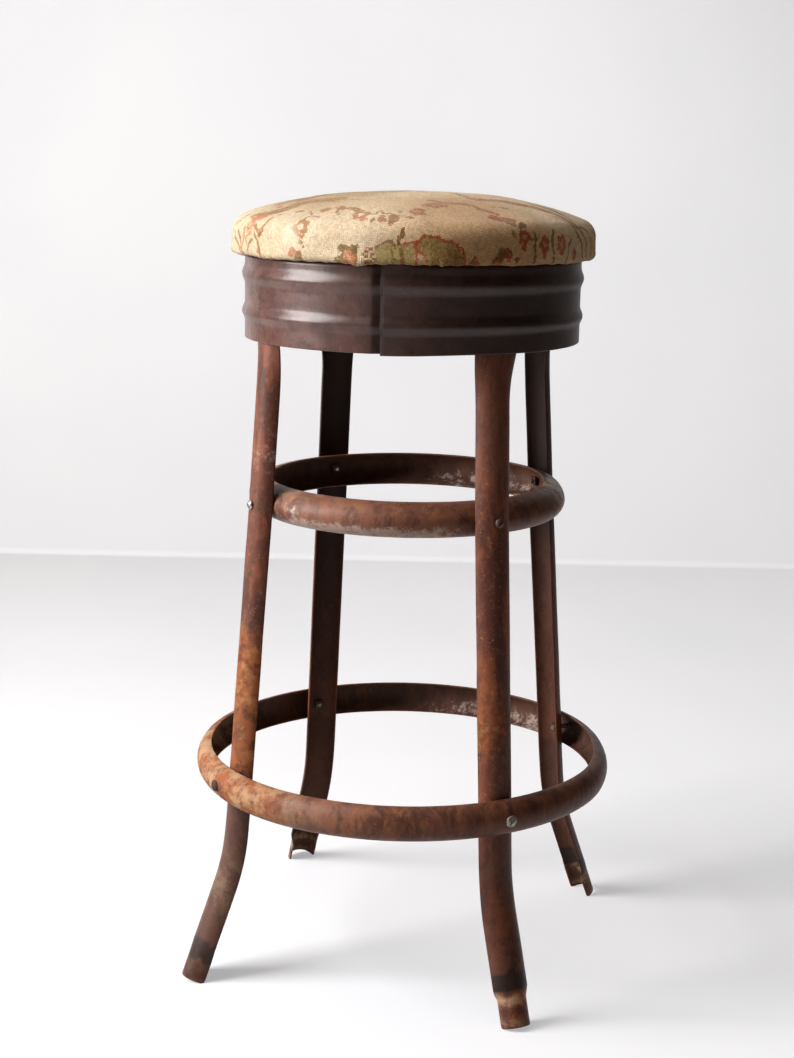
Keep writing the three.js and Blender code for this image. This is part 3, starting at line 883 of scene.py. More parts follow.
def dome_rows(radius, rise, first, count):
    """The profile of a domed head from its rim to its middle."""
    angles = np.linspace(first, math.pi / 2, count)[:-1]
    return [(radius * math.cos(a), rise * math.sin(a)) for a in angles] + [(0, rise)]


def screw_profile(radius, head, dome, length, point, tip, threads_from):
    """A screw with its head above z = 0 and ridged thread below threads_from."""
    rows = [(0, -length), (tip, -length), (radius - THREAD_DEPTH, point - length)]
    for k in range(int((length - point - threads_from) / THREAD_PITCH)):
        level = point - length + (k + 0.25) * THREAD_PITCH
        rows.append((radius, level))
        rows.append((radius - THREAD_DEPTH, level + THREAD_PITCH / 2))
    rows += [(radius, -threads_from), (radius, 0)]
    rows += [(head * HEAD_EDGE_SHARE, 0), (head, dome * HEAD_EDGE_RISE)]
    return rows + dome_rows(head, dome, HEAD_ROUND_FROM, HEAD_POINTS)


def with_cut(mesh, cutter_mesh, matrix):
    """The mesh with the cutter taken away, as a new mesh."""
    body = placed("body", mesh)
    cutter = placed("cutter", cutter_mesh)
    cutter.matrix_world = matrix
    modifier = body.modifiers.new("cut", "BOOLEAN")
    modifier.operation = "DIFFERENCE"
    modifier.solver = "EXACT"
    modifier.object = cutter
    bpy.context.view_layer.update()
    graph = bpy.context.evaluated_depsgraph_get()
    result = bpy.data.meshes.new_from_object(body.evaluated_get(graph))
    for made in (body, cutter):
        bpy.data.objects.remove(made)
    return result


def box_mesh(width, depth, height, bevel=0):
    """A box round the origin, with its edges bevelled if a bevel is given."""
    made = bmesh.new()
    bmesh.ops.create_cube(made, size=1)
    bmesh.ops.scale(made, vec=(width, depth, height), verts=made.verts)
    if bevel:
        bmesh.ops.bevel(
            made,
            geom=made.edges[:],
            offset=bevel,
            segments=2,
            profile=NUT_BEVEL_SHAPE,
            affect="EDGES",
        )
    mesh = bpy.data.meshes.new("box")
    made.to_mesh(mesh)
    made.free()
    return mesh


def screw_mesh(*sizes):
    """A screw with a slot across its head, from the sizes of its profile."""
    head, dome = sizes[1:3]
    body = new_mesh(*turned_faces(screw_profile(*sizes), SCREW_POINTS))
    slot = box_mesh(SLOT_WIDTH, 2 * head + SLOT_OVERRUN, 2 * SLOT_DEPTH)
    return with_cut(body, slot, Matrix.Translation((0, 0, dome)))


def nut_mesh():
    block = box_mesh(NUT_WIDTH, NUT_WIDTH, NUT_THICKNESS, NUT_BEVEL)
    hole = RING_SCREW_RADIUS + TOUCH_GAP
    rod = [(0, -SLOT_OVERRUN), (hole, -SLOT_OVERRUN), (hole, SLOT_OVERRUN), (0, SLOT_OVERRUN)]
    cutter = new_mesh(*turned_faces(rod, NUT_HOLE_POINTS))
    return with_cut(block, cutter, Matrix.Identity(4))


def add_fastener(name, mesh, matrix, slot_name, material, node):
    """A copy of a fastener's mesh, put in its place."""
    copy = mesh.copy()
    copy.transform(matrix)
    add_piece(name, copy, slot_name, material, node, crisp=CRISP_STEEL)


def add_ring_fasteners(steel, dull):
    lower_seat = Vector((LOWER_RING_CROWN + TOUCH_GAP, 0, LOWER_RING_HEIGHT))
    upper_out = Vector((math.cos(SPLAY), 0, math.sin(SPLAY)))
    rise = (leg_crown_radius(UPPER_RING_HEIGHT) - UPPER_RING_CROWN) * math.cos(SPLAY)
    upper_seat = Vector((UPPER_RING_CROWN, 0, UPPER_RING_HEIGHT)) + upper_out * (rise + TOUCH_GAP)
    nut = nut_mesh()
    levels = (
        ("lower", lower_seat, 0, LOWER_SCREW_HEAD),
        ("upper", upper_seat, SPLAY, RING_SCREW_HEAD),
    )
    for level, seat, tilt, head in levels:
        first = next(iter(PLACES))
        low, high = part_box(f"{level}_nut_{first}")
        centre = Matrix.Rotation(-PLACES[first][0], 3, "Z") @ ((low + high) / 2)
        nut_middle = (seat - centre).length
        screw = screw_mesh(
            RING_SCREW_RADIUS,
            head,
            RING_SCREW_DOME,
            nut_middle + NUT_THICKNESS / 2 + RING_SCREW_TAIL,
            RING_SCREW_RADIUS / 3,
            RING_SCREW_RADIUS * 2 / 3,
            nut_middle - NUT_THICKNESS / 2 - THREAD_PITCH,
        )
        lean = Matrix.Rotation(math.pi / 2 - tilt, 4, "Y")
        for place, (azimuth, slot_turn) in PLACES.items():
            turn = azimuth + float(lean_at(place, seat.z))
            stand = Matrix.Rotation(turn, 4, "Z") @ Matrix.Translation(seat) @ lean
            stands = (
                ("ring_screw", "screw", screw, Matrix.Rotation(slot_turn, 4, "Z"), "bright_steel"),
                ("square_nut", "nut", nut, Matrix.Translation((0, 0, -nut_middle)), "dull_steel"),
            )
            for kind, node, mesh, matrix, slot_name in stands:
                material = steel[level, place] if node == "screw" else dull
                name, node = f"{level}_{kind}_{place}", f"{level}_{node}_{place}"
                add_fastener(name, mesh, stand @ matrix, slot_name, material, node)


def add_seat_screws(dull):
    seat = TAB_TOP - LEG_SHEET - TOUCH_GAP
    screw = screw_mesh(
        SEAT_SCREW_RADIUS,
        SEAT_SCREW_HEAD,
        SEAT_SCREW_DOME,
        BOARD_BOTTOM + SEAT_SCREW_BITE - seat,
        SEAT_SCREW_POINT,
        SEAT_SCREW_RADIUS / 3,
        LEG_SHEET,
    )
    flip = Matrix.Rotation(math.pi, 4, "X")
    for place, (azimuth, slot_turn) in PLACES.items():
        for hand, side in (("left", SEAT_SCREW_SPREAD), ("right", -SEAT_SCREW_SPREAD)):
            stand = Matrix.Rotation(azimuth + float(lean_at(place, seat)), 4, "Z")
            stand = stand @ Matrix.Translation((SEAT_SCREW_CIRCLE, side, seat))
            stand = stand @ flip @ Matrix.Rotation(-slot_turn, 4, "Z")
            name = f"{place}_{hand}"
            add_fastener(f"wood_screw_{name}", screw, stand, "dull_steel", dull, f"seat_screw_{name}")


def add_tacks(dull):
    """Upholstery tacks under the cover's turned-in edge."""
    shank = TACK_HEAD / 3
    rows = [(0, TACK_HEAD), (shank, TACK_HEAD), (shank, 0), (TACK_HEAD, 0)]
    rows += dome_rows(TACK_HEAD, -TACK_DOME, TACK_ROUND_FROM, TACK_HEAD_POINTS)
    points, faces = turned_faces(rows[::-1], TACK_POINTS)
    azimuths = 2 * math.pi * (np.arange(TACK_COUNT) + 0.5) / TACK_COUNT
    spots = round_points(TACK_CIRCLE, azimuths, COVER_BOTTOM)
    all_points = np.array(points) + spots[:, None]
    starts = len(points) * np.arange(TACK_COUNT)
    all_faces = [[start + v for v in face] for start in starts.tolist() for face in faces]
    mesh = new_mesh(all_points, all_faces)
    add_piece("seat_tacks", mesh, "dull_steel", dull, crisp=CRISP_TACK)


# Cushion


def cushion_profile(inset):
    """The cushion's outline from its top on the axis out and down to its tucked-in edge."""
    crown = np.array([0, COVER_BOTTOM + CUSHION_HEIGHT - CROWN_RADIUS])
    crown_end = math.asin(CROWN_REACH / CROWN_RADIUS)
    reach = CROWN_RADIUS - HAUNCH_RADIUS
    haunch = crown + reach * np.array([math.sin(crown_end), math.cos(crown_end)])
    reach = HAUNCH_RADIUS - SHOULDER_RADIUS
    haunch_end = math.asin((CUSHION_RADIUS - SHOULDER_RADIUS - haunch[0]) / reach)
    shoulder = haunch + reach * np.array([math.sin(haunch_end), math.cos(haunch_end)])
    tuck = np.array([CUSHION_RADIUS - TUCK_RADIUS, COVER_BOTTOM + TUCK_RADIUS])
    rows = []
    for middle, size, first, last, count in (
        (crown, CROWN_RADIUS, 0, crown_end, 50),
        (haunch, HAUNCH_RADIUS, crown_end, haunch_end, 40),
        (shoulder, SHOULDER_RADIUS, haunch_end, math.pi / 2, 30),
        (tuck, TUCK_RADIUS, math.pi / 2, math.pi, 20),
    ):
        angles = np.linspace(first, last, count)[:, None]
        rows.append(middle + (size - inset) * np.concatenate([np.sin(angles), np.cos(angles)], 1))
    return np.concatenate(rows)


def cover_line():
    """The cover's outline and each point's distance from the axis along the cloth."""
    rows = np.concatenate([cushion_profile(0), [(COVER_MOUTH, COVER_BOTTOM)]])
    steps = np.hypot(*np.diff(rows, axis=0).T)
    return rows, np.r_[0, np.cumsum(steps)]


# Sags of the cover's lower edge: azimuth and reach in degrees, and depth
EDGE_SAGS = [
    (-91.5, 3.2, 0.0026),
    (-84.5, 2.2, 0.0007),
    (-66.8, 1.2, 0.0014),
    (-128.0, 3.0, 0.0009),
    (-44.0, 2.4, 0.0008),
    (-20.0, 3.4, 0.0010),
    (25.0, 3.0, 0.0016),
    (80.0, 2.5, 0.0010),
    (118.0, 3.2, 0.0018),
    (160.0, 2.6, 0.0012),
    (-160.0, 3.0, 0.0012),
]


def cover_points(distance, azimuth):
    """Points of the cover before its padding swells it."""
    rows, length = cover_line()
    radius = np.interp(distance, length, rows[:, 0])
    height = np.interp(distance, length, rows[:, 1])
    high = smoothstep(height, COVER_BOTTOM + CLOTH_THICKNESS, COVER_BOTTOM + TACK_PUFF_TOP)
    wide = smoothstep(radius, SKIRT_RADIUS, CUSHION_RADIUS - CLOTH_THICKNESS)
    wave = (1 + np.cos(TACK_COUNT * azimuth)) / 2
    radius = radius * (1 + TACK_PUFF * wide * (1 - high) * wave / CUSHION_RADIUS)
    side = radius * np.cos(azimuth - VIEW_AZIMUTH)
    settle = LEFT_SETTLE * smoothstep(-side, *LEFT_SETTLE_REACH)
    settle = settle + RIGHT_SETTLE * smoothstep(side, *RIGHT_SETTLE_REACH)
    low, high = SETTLE_HEIGHTS
    height = height - settle * smoothstep(height, COVER_BOTTOM + low, COVER_BOTTOM + high)
    return round_points(radius, azimuth, height)


def overhang(points):
    """1 where the cover stands clear of the skirt, falling to 0 where it rests on it."""
    reach = SKIRT_RADIUS + OVERHANG_REACH
    return smoothstep(np.hypot(points[..., 0], points[..., 1]), SKIRT_RADIUS, reach)


def swollen_cover():
    """Cloth under the padding's pressure, held at its edge and drawn in at its tacks.
    Returns how far each point of a round grid moves, and the grid's distances."""
    total = cover_line()[1][-1]
    distances = np.linspace(SIM_START, total, int(total / SIM_ROW))
    azimuths = np.linspace(0, 2 * math.pi, SIM_ROUND, endpoint=False)
    start = cover_points(distances[:, None], azimuths[None, :])
    low = smoothstep(distances, SIM_RIM, total)[:, None, None]
    tight = start.copy()
    tight[..., :2] *= 1 - SIM_TIGHT_SHARE * low
    uneven = noise_field(azimuths[None, :, None], SIM_UNEVEN_CELL, 9)[..., None]
    slack = start.copy()
    slack[..., :2] *= 1 + SIM_SLACK_SHARE * low * (1 + SIM_UNEVEN_SHARE * uneven)
    faces = []
    for near in range(0, (len(distances) - 1) * SIM_ROUND, SIM_ROUND):
        far = near + SIM_ROUND
        for i in range(SIM_ROUND):
            j = (i + 1) % SIM_ROUND
            faces.append((near + i, far + i, far + j, near + j))
    faces.append(tuple(range(SIM_ROUND)))
    cloth = placed("swelling", new_mesh(tight, faces))
    cloth.shape_key_add(name="Basis")
    slack_key = cloth.shape_key_add(name="slack")
    slack_key.data.foreach_set("co", slack.reshape(-1))
    fixed = total - (CUSHION_RADIUS - TUCK_RADIUS - COVER_MOUTH)
    tacked = np.cos(TACK_COUNT * azimuths) < SIM_TACK_HOLD
    held = (distances > fixed)[:, None] | ((distances > fixed - TUCK_RADIUS)[:, None] & tacked)
    group = cloth.vertex_groups.new(name="held")
    group.add(np.flatnonzero(held).tolist(), 1.0, "REPLACE")
    modifier = cloth.modifiers.new("cloth", "CLOTH")
    for name, value in SIM_SETTINGS.items():
        setattr(modifier.settings, name, value)
    modifier.settings.rest_shape_key = slack_key
    modifier.settings.effector_weights.gravity = 0
    modifier.point_cache.frame_end = SIM_FRAMES
    for step in range(1, SIM_FRAMES + 1):
        bpy.context.scene.frame_set(step)
    graph = bpy.context.evaluated_depsgraph_get()
    moved = np.zeros(start.size)
    cloth.evaluated_get(graph).data.vertices.foreach_get("co", moved)
    bpy.context.scene.frame_set(1)
    bpy.data.objects.remove(cloth)
    return uneven_part(moved.reshape(start.shape) - start, azimuths, distances), distances


def uneven_part(shift, azimuths, distances):
    """What the swelling adds to the cushion's even shape, as outward and upward moves."""
    out = shift[..., 0] * np.cos(azimuths) + shift[..., 1] * np.sin(azimuths)
    moves = np.stack([out, shift[..., 2]], axis=-1)
    moves = moves - moves.mean(axis=1, keepdims=True)
    for _ in range(SWELL_PASSES):
        beside = np.roll(moves, 1, axis=1) + np.roll(moves, -1, axis=1)
        moves = moves / 2 + beside / 4
        moves[1:-1] = moves[1:-1] / 2 + (moves[:-2] + moves[2:]) / 4
    moves = moves * SWELL_SHARE * smoothstep(distances, *SWELL_DISTANCES)[:, None, None]
    moves = SWELL_CAP * np.tanh(moves / SWELL_CAP)
    return round_points(moves[..., 0], azimuths, moves[..., 1])


def swell_at(swelling, distance, azimuth):
    """The round grid's shift, read smoothly at a distance and azimuth."""
    shift, distances = swelling
    before_last = len(distances) - 1.001
    row = np.interp(distance, distances, np.arange(len(distances)))
    row = np.clip(row, 0, before_last)
    column = (azimuth % (2 * math.pi)) / (2 * math.pi) * SIM_ROUND
    top, left = np.floor(row).astype(int), np.floor(column).astype(int) % SIM_ROUND
    down, right = (row - top)[:, None], (column - np.floor(column))[:, None]
    beside = (left + 1) % SIM_ROUND
    upper = shift[top, left] * (1 - right) + shift[top, beside] * right
    lower = shift[top + 1, left] * (1 - right) + shift[top + 1, beside] * right
    return upper * (1 - down) + lower * down


def stitch_lattice():
    """A square lattice with two steps to a stitch, cut to a disc.
    Returns its points in stitches, its faces, and the middle of each face."""
    total = cover_line()[1][-1]
    half = 2 * int(total / STITCH + 1)
    axis = np.arange(-half, half + 1)
    grid_u, grid_v = np.meshgrid(axis, axis, indexing="ij")
    inside = np.hypot(grid_u, grid_v) * STITCH / 2 < total
    cell = inside[:-1, :-1] | inside[1:, :-1] | inside[:-1, 1:] | inside[1:, 1:]
    corners = ((0, 0), (1, 0), (1, 1), (0, 1))
    used = np.zeros_like(inside)
    for du, dv in corners:
        used[du : used.shape[0] - 1 + du, dv : used.shape[1] - 1 + dv] |= cell
    number = np.full(used.shape, -1)
    number[used] = np.arange(used.sum())
    cell_u, cell_v = np.nonzero(cell)
    faces = np.stack([number[cell_u + du, cell_v + dv] for du, dv in corners], axis=-1)
    lattice = np.stack([grid_u[used], grid_v[used]], axis=-1) / 2
    middles = np.stack([axis[cell_u], axis[cell_v]], axis=-1) / 2 + 0.25
    return lattice, faces, middles, total


def add_cover(material, swelling):
    lattice, faces, middles, total = stitch_lattice()
    flat = lattice * STITCH
    distance = np.minimum(np.hypot(flat[:, 0], flat[:, 1]), total)
    azimuth = np.arctan2(flat[:, 1], flat[:, 0])
    points = cover_points(distance, azimuth)
    if swelling:
        points = points + swell_at(swelling, distance, azimuth)
    rim = smoothstep(distance, *RIM_DISTANCES)
    dents = noise_field(points, DENT_CELL, 11) * DENT_DEPTH
    dents = dents + noise_field(points, PUCKER_CELL, 12) * PUCKER_DEPTH * rim
    knot = np.abs(np.sin(math.pi * lattice)).prod(axis=1)
    uneven = 0.5 + hashed(np.floor(lattice), 13)
    dents = dents + STITCH_RISE * (knot * uneven - 0.5)
    outward = points / np.array([CUSHION_RADIUS, CUSHION_RADIUS, 1])
    outward[:, :2] *= rim[:, None]
    outward[:, 2] = 1 - rim
    free = np.where(distance > CROWN_FLAT, overhang(points), 1)
    points = points + outward * (dents * free)[:, None]
    points[:, 2] -= edge_sag(points, azimuth)
    mesh = new_mesh(points, faces.tolist())
    cover = add_piece("tapestry_cover", mesh, "tapestry", material, "seat_cover")
    layer = mesh.color_attributes.new("stitches", "FLOAT_COLOR", "CORNER")
    colours = np.repeat(tapestry_colours(middles * STITCH), 4, axis=0)
    layer.data.foreach_set("color", colours.astype(np.float32).ravel())
    warp = [noise_field(flat, WARP_CELL, seed) for seed in (15, 16)]
    woven = np.c_[lattice + WARP_SHARE * np.stack(warp, axis=-1), np.zeros(len(flat))]
    weave = mesh.attributes.new("weave", "FLOAT_VECTOR", "POINT")
    weave.data.foreach_set("vector", woven.astype(np.float32).ravel())
    shell = cover.modifiers.new("cloth", "SOLIDIFY")
    shell.thickness = CLOTH_THICKNESS
    shell.offset = -1
    shell.use_even_offset = False


def edge_sag(points, azimuth):
    """How far the cover's lower edge hangs, more in some places."""
    low, high = SAG_HEIGHTS
    near = 1 - smoothstep(points[:, 2], COVER_BOTTOM + low, COVER_BOTTOM + high)
    turned = np.degrees(azimuth)
    sag = sum(depth * noise_field(turned[:, None], cell, seed) for depth, cell, seed in EDGE_NOISES)
    for middle, reach, depth in EDGE_SAGS:
        sag = sag + depth * round_bump(azimuth, middle, reach)
    return sag * near * overhang(points)


def add_board(material):
    """The plywood board, which lies on the cover's turned-in edge."""
    rim = BOARD_RADIUS - BOARD_CHAMFER
    section = [
        (0, BOARD_BOTTOM),
        (rim, BOARD_BOTTOM),
        (BOARD_RADIUS, BOARD_BOTTOM + BOARD_CHAMFER),
        (BOARD_RADIUS, BOARD_TOP - BOARD_CHAMFER),
        (rim, BOARD_TOP),
        (0, BOARD_TOP),
    ]
    mesh = new_mesh(*turned_faces(section, SEAT_POINTS))
    add_piece("plywood_board", mesh, "plywood", material, "seat_board", crisp=CRISP_BOARD)


def add_padding(material):
    """Cotton padding between the board and the cover."""
    outline = cushion_profile(PADDING_INSET)
    rim = BOARD_RADIUS + TOUCH_GAP
    outline = outline[(outline[:, 0] > rim) | (outline[:, 1] > BOARD_TOP)][1:]
    base = BOARD_TOP + TOUCH_GAP
    under = [(0, base), (rim, base), (rim, outline[-1, 1])]
    section = np.concatenate([under, outline[::-1], [(0, outline[0, 1])]])
    mesh = new_mesh(*turned_faces(section.tolist(), SEAT_POINTS))
    padding = add_piece("cotton_padding", mesh, "wadding", material, "seat_padding")


# Tapestry pattern, painted stitch by stitch in the flat cloth


def srgb(red, green, blue):
    """A colour as seen, from 0 to 255, made linear."""
    share = np.array([red, green, blue]) / 255
    return np.where(share <= 0.04045, share / 12.92, ((share + 0.055) / 1.055) ** 2.4)


CREAM = srgb(228, 204, 168)
PALE = srgb(238, 219, 188)
TAN = srgb(198, 164, 122)
OCHRE = srgb(182, 128, 70)
UMBER = srgb(156, 108, 60)
OLIVE = srgb(154, 132, 70)
MOSS = srgb(120, 94, 42)
STRAW = srgb(190, 174, 110)
RUST = srgb(180, 106, 56)
BRICK = srgb(186, 82, 50)
CORAL = srgb(208, 132, 88)
PINK = srgb(228, 178, 146)
FADED_HIGHLIGHT = srgb(250, 238, 218)

# Fading, soiling and painted light: distances from the middle of the cloth, tints at its sides (the
# right one painted shade) and a pale spot (a painted highlight on faded cloth)
FADE_CELL = 0.02
WORN_DISTANCES = (0.12, 0.175)
SOILED_DISTANCES = (0.208, 0.222)
RIGHT_SHADE_DISTANCES = (0.03, 0.12)
TOP_TINT = np.array([0.96, 0.92, 0.84])
LEFT_TINT = np.array([0.76, 0.65, 0.49])
RIGHT_SHADE_TINT = np.array([0.79, 0.62, 0.47])
FADED_HIGHLIGHT_SPOT = (-114.5, 188.5)
FADED_HIGHLIGHT_SPOT_REACH = (0.002, 0.018)

# How unevenly the stitches follow the drawing
DRAWING_CELL = 0.006
DRAWING_BEND = 0.0009
DRAWING_JITTER_SHARE = 0.6
GROUND_CELL = 0.03

# Stems wider than this in mm are scalloped scrolls, narrower near the middle of the cloth
SCROLL_WIDTH = 10
SCALLOP = 0.011
SCROLL_DISTANCES = (0.035, 0.115)
LEAF_RIM = 1.6


def at(degrees_round, distance):
    """A place on the flat cloth, from its azimuth in degrees and its distance in mm."""
    angle = math.radians(degrees_round)
    return np.array([math.cos(angle), math.sin(angle)]) * distance / 1000


class Cloth:
    """The flat cloth's stitches and their colours. Places are azimuths and distances in mm."""

    def __init__(self, stitches):
        self.cell = np.floor(stitches / STITCH)
        jitter = np.stack([hashed(self.cell, seed) for seed in (41, 42)], axis=-1) - 0.5
        bend = np.stack([noise_field(stitches, DRAWING_CELL, seed) for seed in (31, 32)], axis=-1)
        self.place = stitches + DRAWING_BEND * bend + DRAWING_JITTER_SHARE * STITCH * jitter
        self.chance = hashed(self.cell, 33)
        self.turn = 0
        ground = noise_field(stitches, GROUND_CELL, 34)[:, None] * 0.5 + 0.5
        self.colour = CREAM * (1 - ground) + PALE * ground
        fleck = (hashed(self.cell, 35) > 0.9)[:, None]
        self.colour = np.where(fleck, self.colour * 0.84 + TAN * 0.1, self.colour)

    def spot(self, degrees_round, distance):
        return at(degrees_round + self.turn, distance)

    def about(self, degrees_round, distance, turn=0.0):
        """The stitches' distances round the seat and outward from a place, in mm."""
        shift = (self.place - self.spot(degrees_round, distance)) * 1000
        angle = math.radians(degrees_round + self.turn + turn)
        cosine, sine = math.cos(angle), math.sin(angle)
        outward = shift[:, 0] * cosine + shift[:, 1] * sine
        across = shift[:, 1] * cosine - shift[:, 0] * sine
        return across, outward

    def close(self, corners, reach):
        """The numbers of the stitches in the box round some corners."""
        low, high = np.min(corners, axis=0) - reach, np.max(corners, axis=0) + reach
        return np.flatnonzero(np.all((self.place > low) & (self.place < high), axis=1))

    def fill(self, inside, colour, strength=1.0, mottle=None):
        """Colours the stitches inside, some of them with a second colour."""
        keep = strength * np.clip(inside, 0, 1)[:, None]
        tint = np.broadcast_to(colour, self.colour.shape)
        if mottle is not None:
            tint = np.where((self.chance > 0.6)[:, None], mottle, tint)
        self.colour = self.colour * (1 - keep) + tint * keep

    def bloom(self, degrees_round, distance, wide, deep, petals, colour, heart=None):
        """A flower or bud with scalloped petals."""
        across, outward = self.about(degrees_round, distance)
        x, y = across / wide * 2, outward / deep * 2
        radius = np.hypot(x, y)
        lobes = np.abs(np.cos(np.arctan2(y, x) * petals / 2 + degrees_round))
        edge = 0.78 + 0.28 * lobes
        self.fill(radius < edge, colour, 0.92, colour * 0.84 + CREAM * 0.12)
        self.fill((radius < edge) & (radius > 0.5) & (lobes < 0.2), colour * 0.7, 0.6)
        if heart is not None:
            self.fill(radius < 0.36, heart, 0.9)

    def leaf(self, degrees_round, distance, length, width, turn, colour, rim):
        """A pointed leaf with an outline. turn is how far its tip points away from outward."""
        across, outward = self.about(degrees_round, distance, turn)
        share = np.clip(outward / length + 0.5, 0, 1)
        half = width / 2 * np.sin(math.pi * share**0.8) ** 0.8
        inside = (np.abs(outward) < length / 2) & (np.abs(across) < half)
        self.fill(inside, rim, 0.9)
        self.fill(inside & (np.abs(across) < half - LEAF_RIM), colour, 1.0, colour * 1.2)

    def patch(self, places, colour, mottle=None, strength=0.95):
        """The stitches inside an outline."""
        corners = [self.spot(*place) for place in places]
        close = self.close(corners, 0)
        x, y = self.place[close].T
        inside = np.zeros(len(x), dtype=bool)
        for start, end in zip(corners, corners[1:] + corners[:1]):
            crosses = (start[1] > y) != (end[1] > y)
            share = (y - start[1]) / (end[1] - start[1])
            inside ^= crosses & (x < start[0] + share * (end[0] - start[0]))
        chosen = np.zeros(len(self.place))
        chosen[close[inside]] = 1
        self.fill(chosen, colour, strength, mottle)

    def stem(self, places, width, colour, mottle=None, strength=0.9):
        """A smooth line through places. A broad one is a scalloped scroll with a vein."""
        line = [self.spot(*place) for place in smoothed(places)]
        half = width / 2000
        broad = width > SCROLL_WIDTH
        gone = 0
        chosen, vein = np.zeros((2, len(self.place)))
        for start, end in zip(line, line[1:]):
            close = self.close([start, end], half)
            ahead = end - start
            length = np.linalg.norm(ahead)
            shift = self.place[close] - start
            share = np.clip(shift @ ahead / length**2, 0, 1)
            away = np.linalg.norm(shift - share[:, None] * ahead, axis=1)
            edge = half
            if broad:
                middle = np.hypot(*self.place[close].T)
                wave = np.abs(np.sin((gone + share * length) * math.pi / SCALLOP))
                edge = half * (0.3 + 0.7 * smoothstep(middle, *SCROLL_DISTANCES))
                edge = edge * (0.7 + 0.35 * wave)
            chosen[close[away < edge]] = 1
            vein[close[away < edge * 0.2]] = broad
            gone += length
        self.fill(chosen, colour, strength, mottle)
        self.fill(vein, UMBER, 0.7, MOSS)


def smoothed(places):
    """More places along a line, with its corners rounded."""
    nodes = np.array(places, dtype=float)
    given = np.linspace(0, 1, len(nodes))
    share = np.linspace(0, 1, 4 * len(nodes))
    line = np.stack([np.interp(share, given, nodes[:, k]) for k in (0, 1)], axis=-1)
    line[1:-1] = line[1:-1] / 2 + (line[:-2] + line[2:]) / 4
    return line


# Flowers and buds: azimuth, distance, width round the seat, depth outward in mm, petals, colours
BLOOMS = [
    (-111.3, 179.5, 20, 19, 5, OCHRE, PALE),
    (-109.9, 187.5, 6, 7, 3, RUST, None),
    (-113.3, 204.5, 11, 10, 3, CORAL, None),
    (-110.9, 208.0, 10, 11, 3, UMBER, None),
    (-112.6, 209.0, 3, 4, 3, STRAW, None),
    (-134.4, 169.0, 20, 11, 5, CORAL, None),
    (-139.3, 143.0, 11, 7, 3, CORAL, None),
    (-125.4, 162.4, 6, 4, 3, OCHRE, None),
    (-136.2, 180.5, 13, 16, 5, CORAL, PINK),
    (-149.2, 180.0, 9, 9, 5, CORAL, PINK),
    (-149.4, 191.0, 6, 6, 3, CORAL, None),
    (-129.4, 205.6, 5, 6, 3, CORAL, None),
    (-144.0, 204.4, 5, 5, 3, CORAL, None),
    (-109.8, 144.5, 12, 14, 4, OCHRE, OLIVE),
    (-107.3, 138.5, 7, 6, 3, CORAL, None),
    (-93.2, 156.0, 16, 22, 5, RUST, PALE),
    (-95.2, 156.0, 6, 9, 3, OCHRE, None),
    (-91.2, 167.0, 8, 9, 3, CORAL, None),
    (-88.0, 168.8, 4, 8, 2, UMBER, None),
    (-85.2, 165.0, 9, 17, 3, RUST, None),
    (-81.7, 165.0, 11, 21, 3, UMBER, None),
    (-83.8, 163.6, 3, 6, 3, PALE, None),
    (-80.1, 148.5, 4, 9, 2, OLIVE, None),
    (-76.6, 162.0, 7, 6, 3, OLIVE, None),
    (-74.0, 145.6, 14, 22, 5, RUST, PINK),
    (-89.0, 200.2, 4, 5, 3, BRICK, None),
    (-87.3, 199.4, 6, 6, 3, CORAL, BRICK),
    (-96.2, 199.0, 12, 9, 4, MOSS, None),
    (-92.4, 198.6, 11, 9, 4, MOSS, None),
    (-94.2, 204.8, 14, 10, 5, CORAL, PINK),
    (-97.8, 209.0, 10, 5, 3, OLIVE, None),
    (-93.6, 210.5, 6, 4, 3, BRICK, None),
    (-66.5, 122.0, 25, 20, 5, RUST, TAN),
    (-52.6, 113.2, 10, 10, 4, OCHRE, None),
    (-34.2, 89.2, 4, 8, 2, UMBER, None),
    (-40.6, 127.0, 6, 6, 3, OLIVE, None),
    (-47.2, 158.5, 14, 16, 4, BRICK, None),
    (-43.8, 165.5, 15, 21, 4, UMBER, None),
    (-46.8, 203.4, 9, 9, 4, BRICK, RUST),
    (-50.0, 210.0, 9, 6, 3, CORAL, None),
    (-43.8, 205.5, 8, 5, 3, MOSS, None),
    (-44.7, 183.0, 4, 9, 2, UMBER, None),
    (-41.0, 187.4, 14, 14, 5, BRICK, PINK),
    (-41.2, 196.5, 5, 8, 2, BRICK, None),
    (-33.2, 193.6, 15, 16, 5, BRICK, PINK),
    (-33.0, 203.0, 5, 7, 2, BRICK, None),
    (-25.8, 193.6, 16, 20, 5, BRICK, PINK),
    (-18.6, 203.2, 9, 12, 5, BRICK, None),
]

# Leaves: azimuth, distance, length, width, turn away from outward, and colours
LEAVES = [
    (-133.0, 159.0, 13, 8, 0, OLIVE, OCHRE),
    (-78.6, 184.5, 9, 5, 8, UMBER, MOSS),
    (-40.6, 174.6, 11, 7, -30, MOSS, MOSS),
    (-49.0, 198.5, 9, 6, 60, OLIVE, MOSS),
    (-36.0, 131.0, 12, 6, 50, OLIVE, UMBER),
    (-119.5, 153.0, 12, 6, -60, OLIVE, OCHRE),
    (-57.0, 106.0, 10, 5, 40, OLIVE, OCHRE),
]

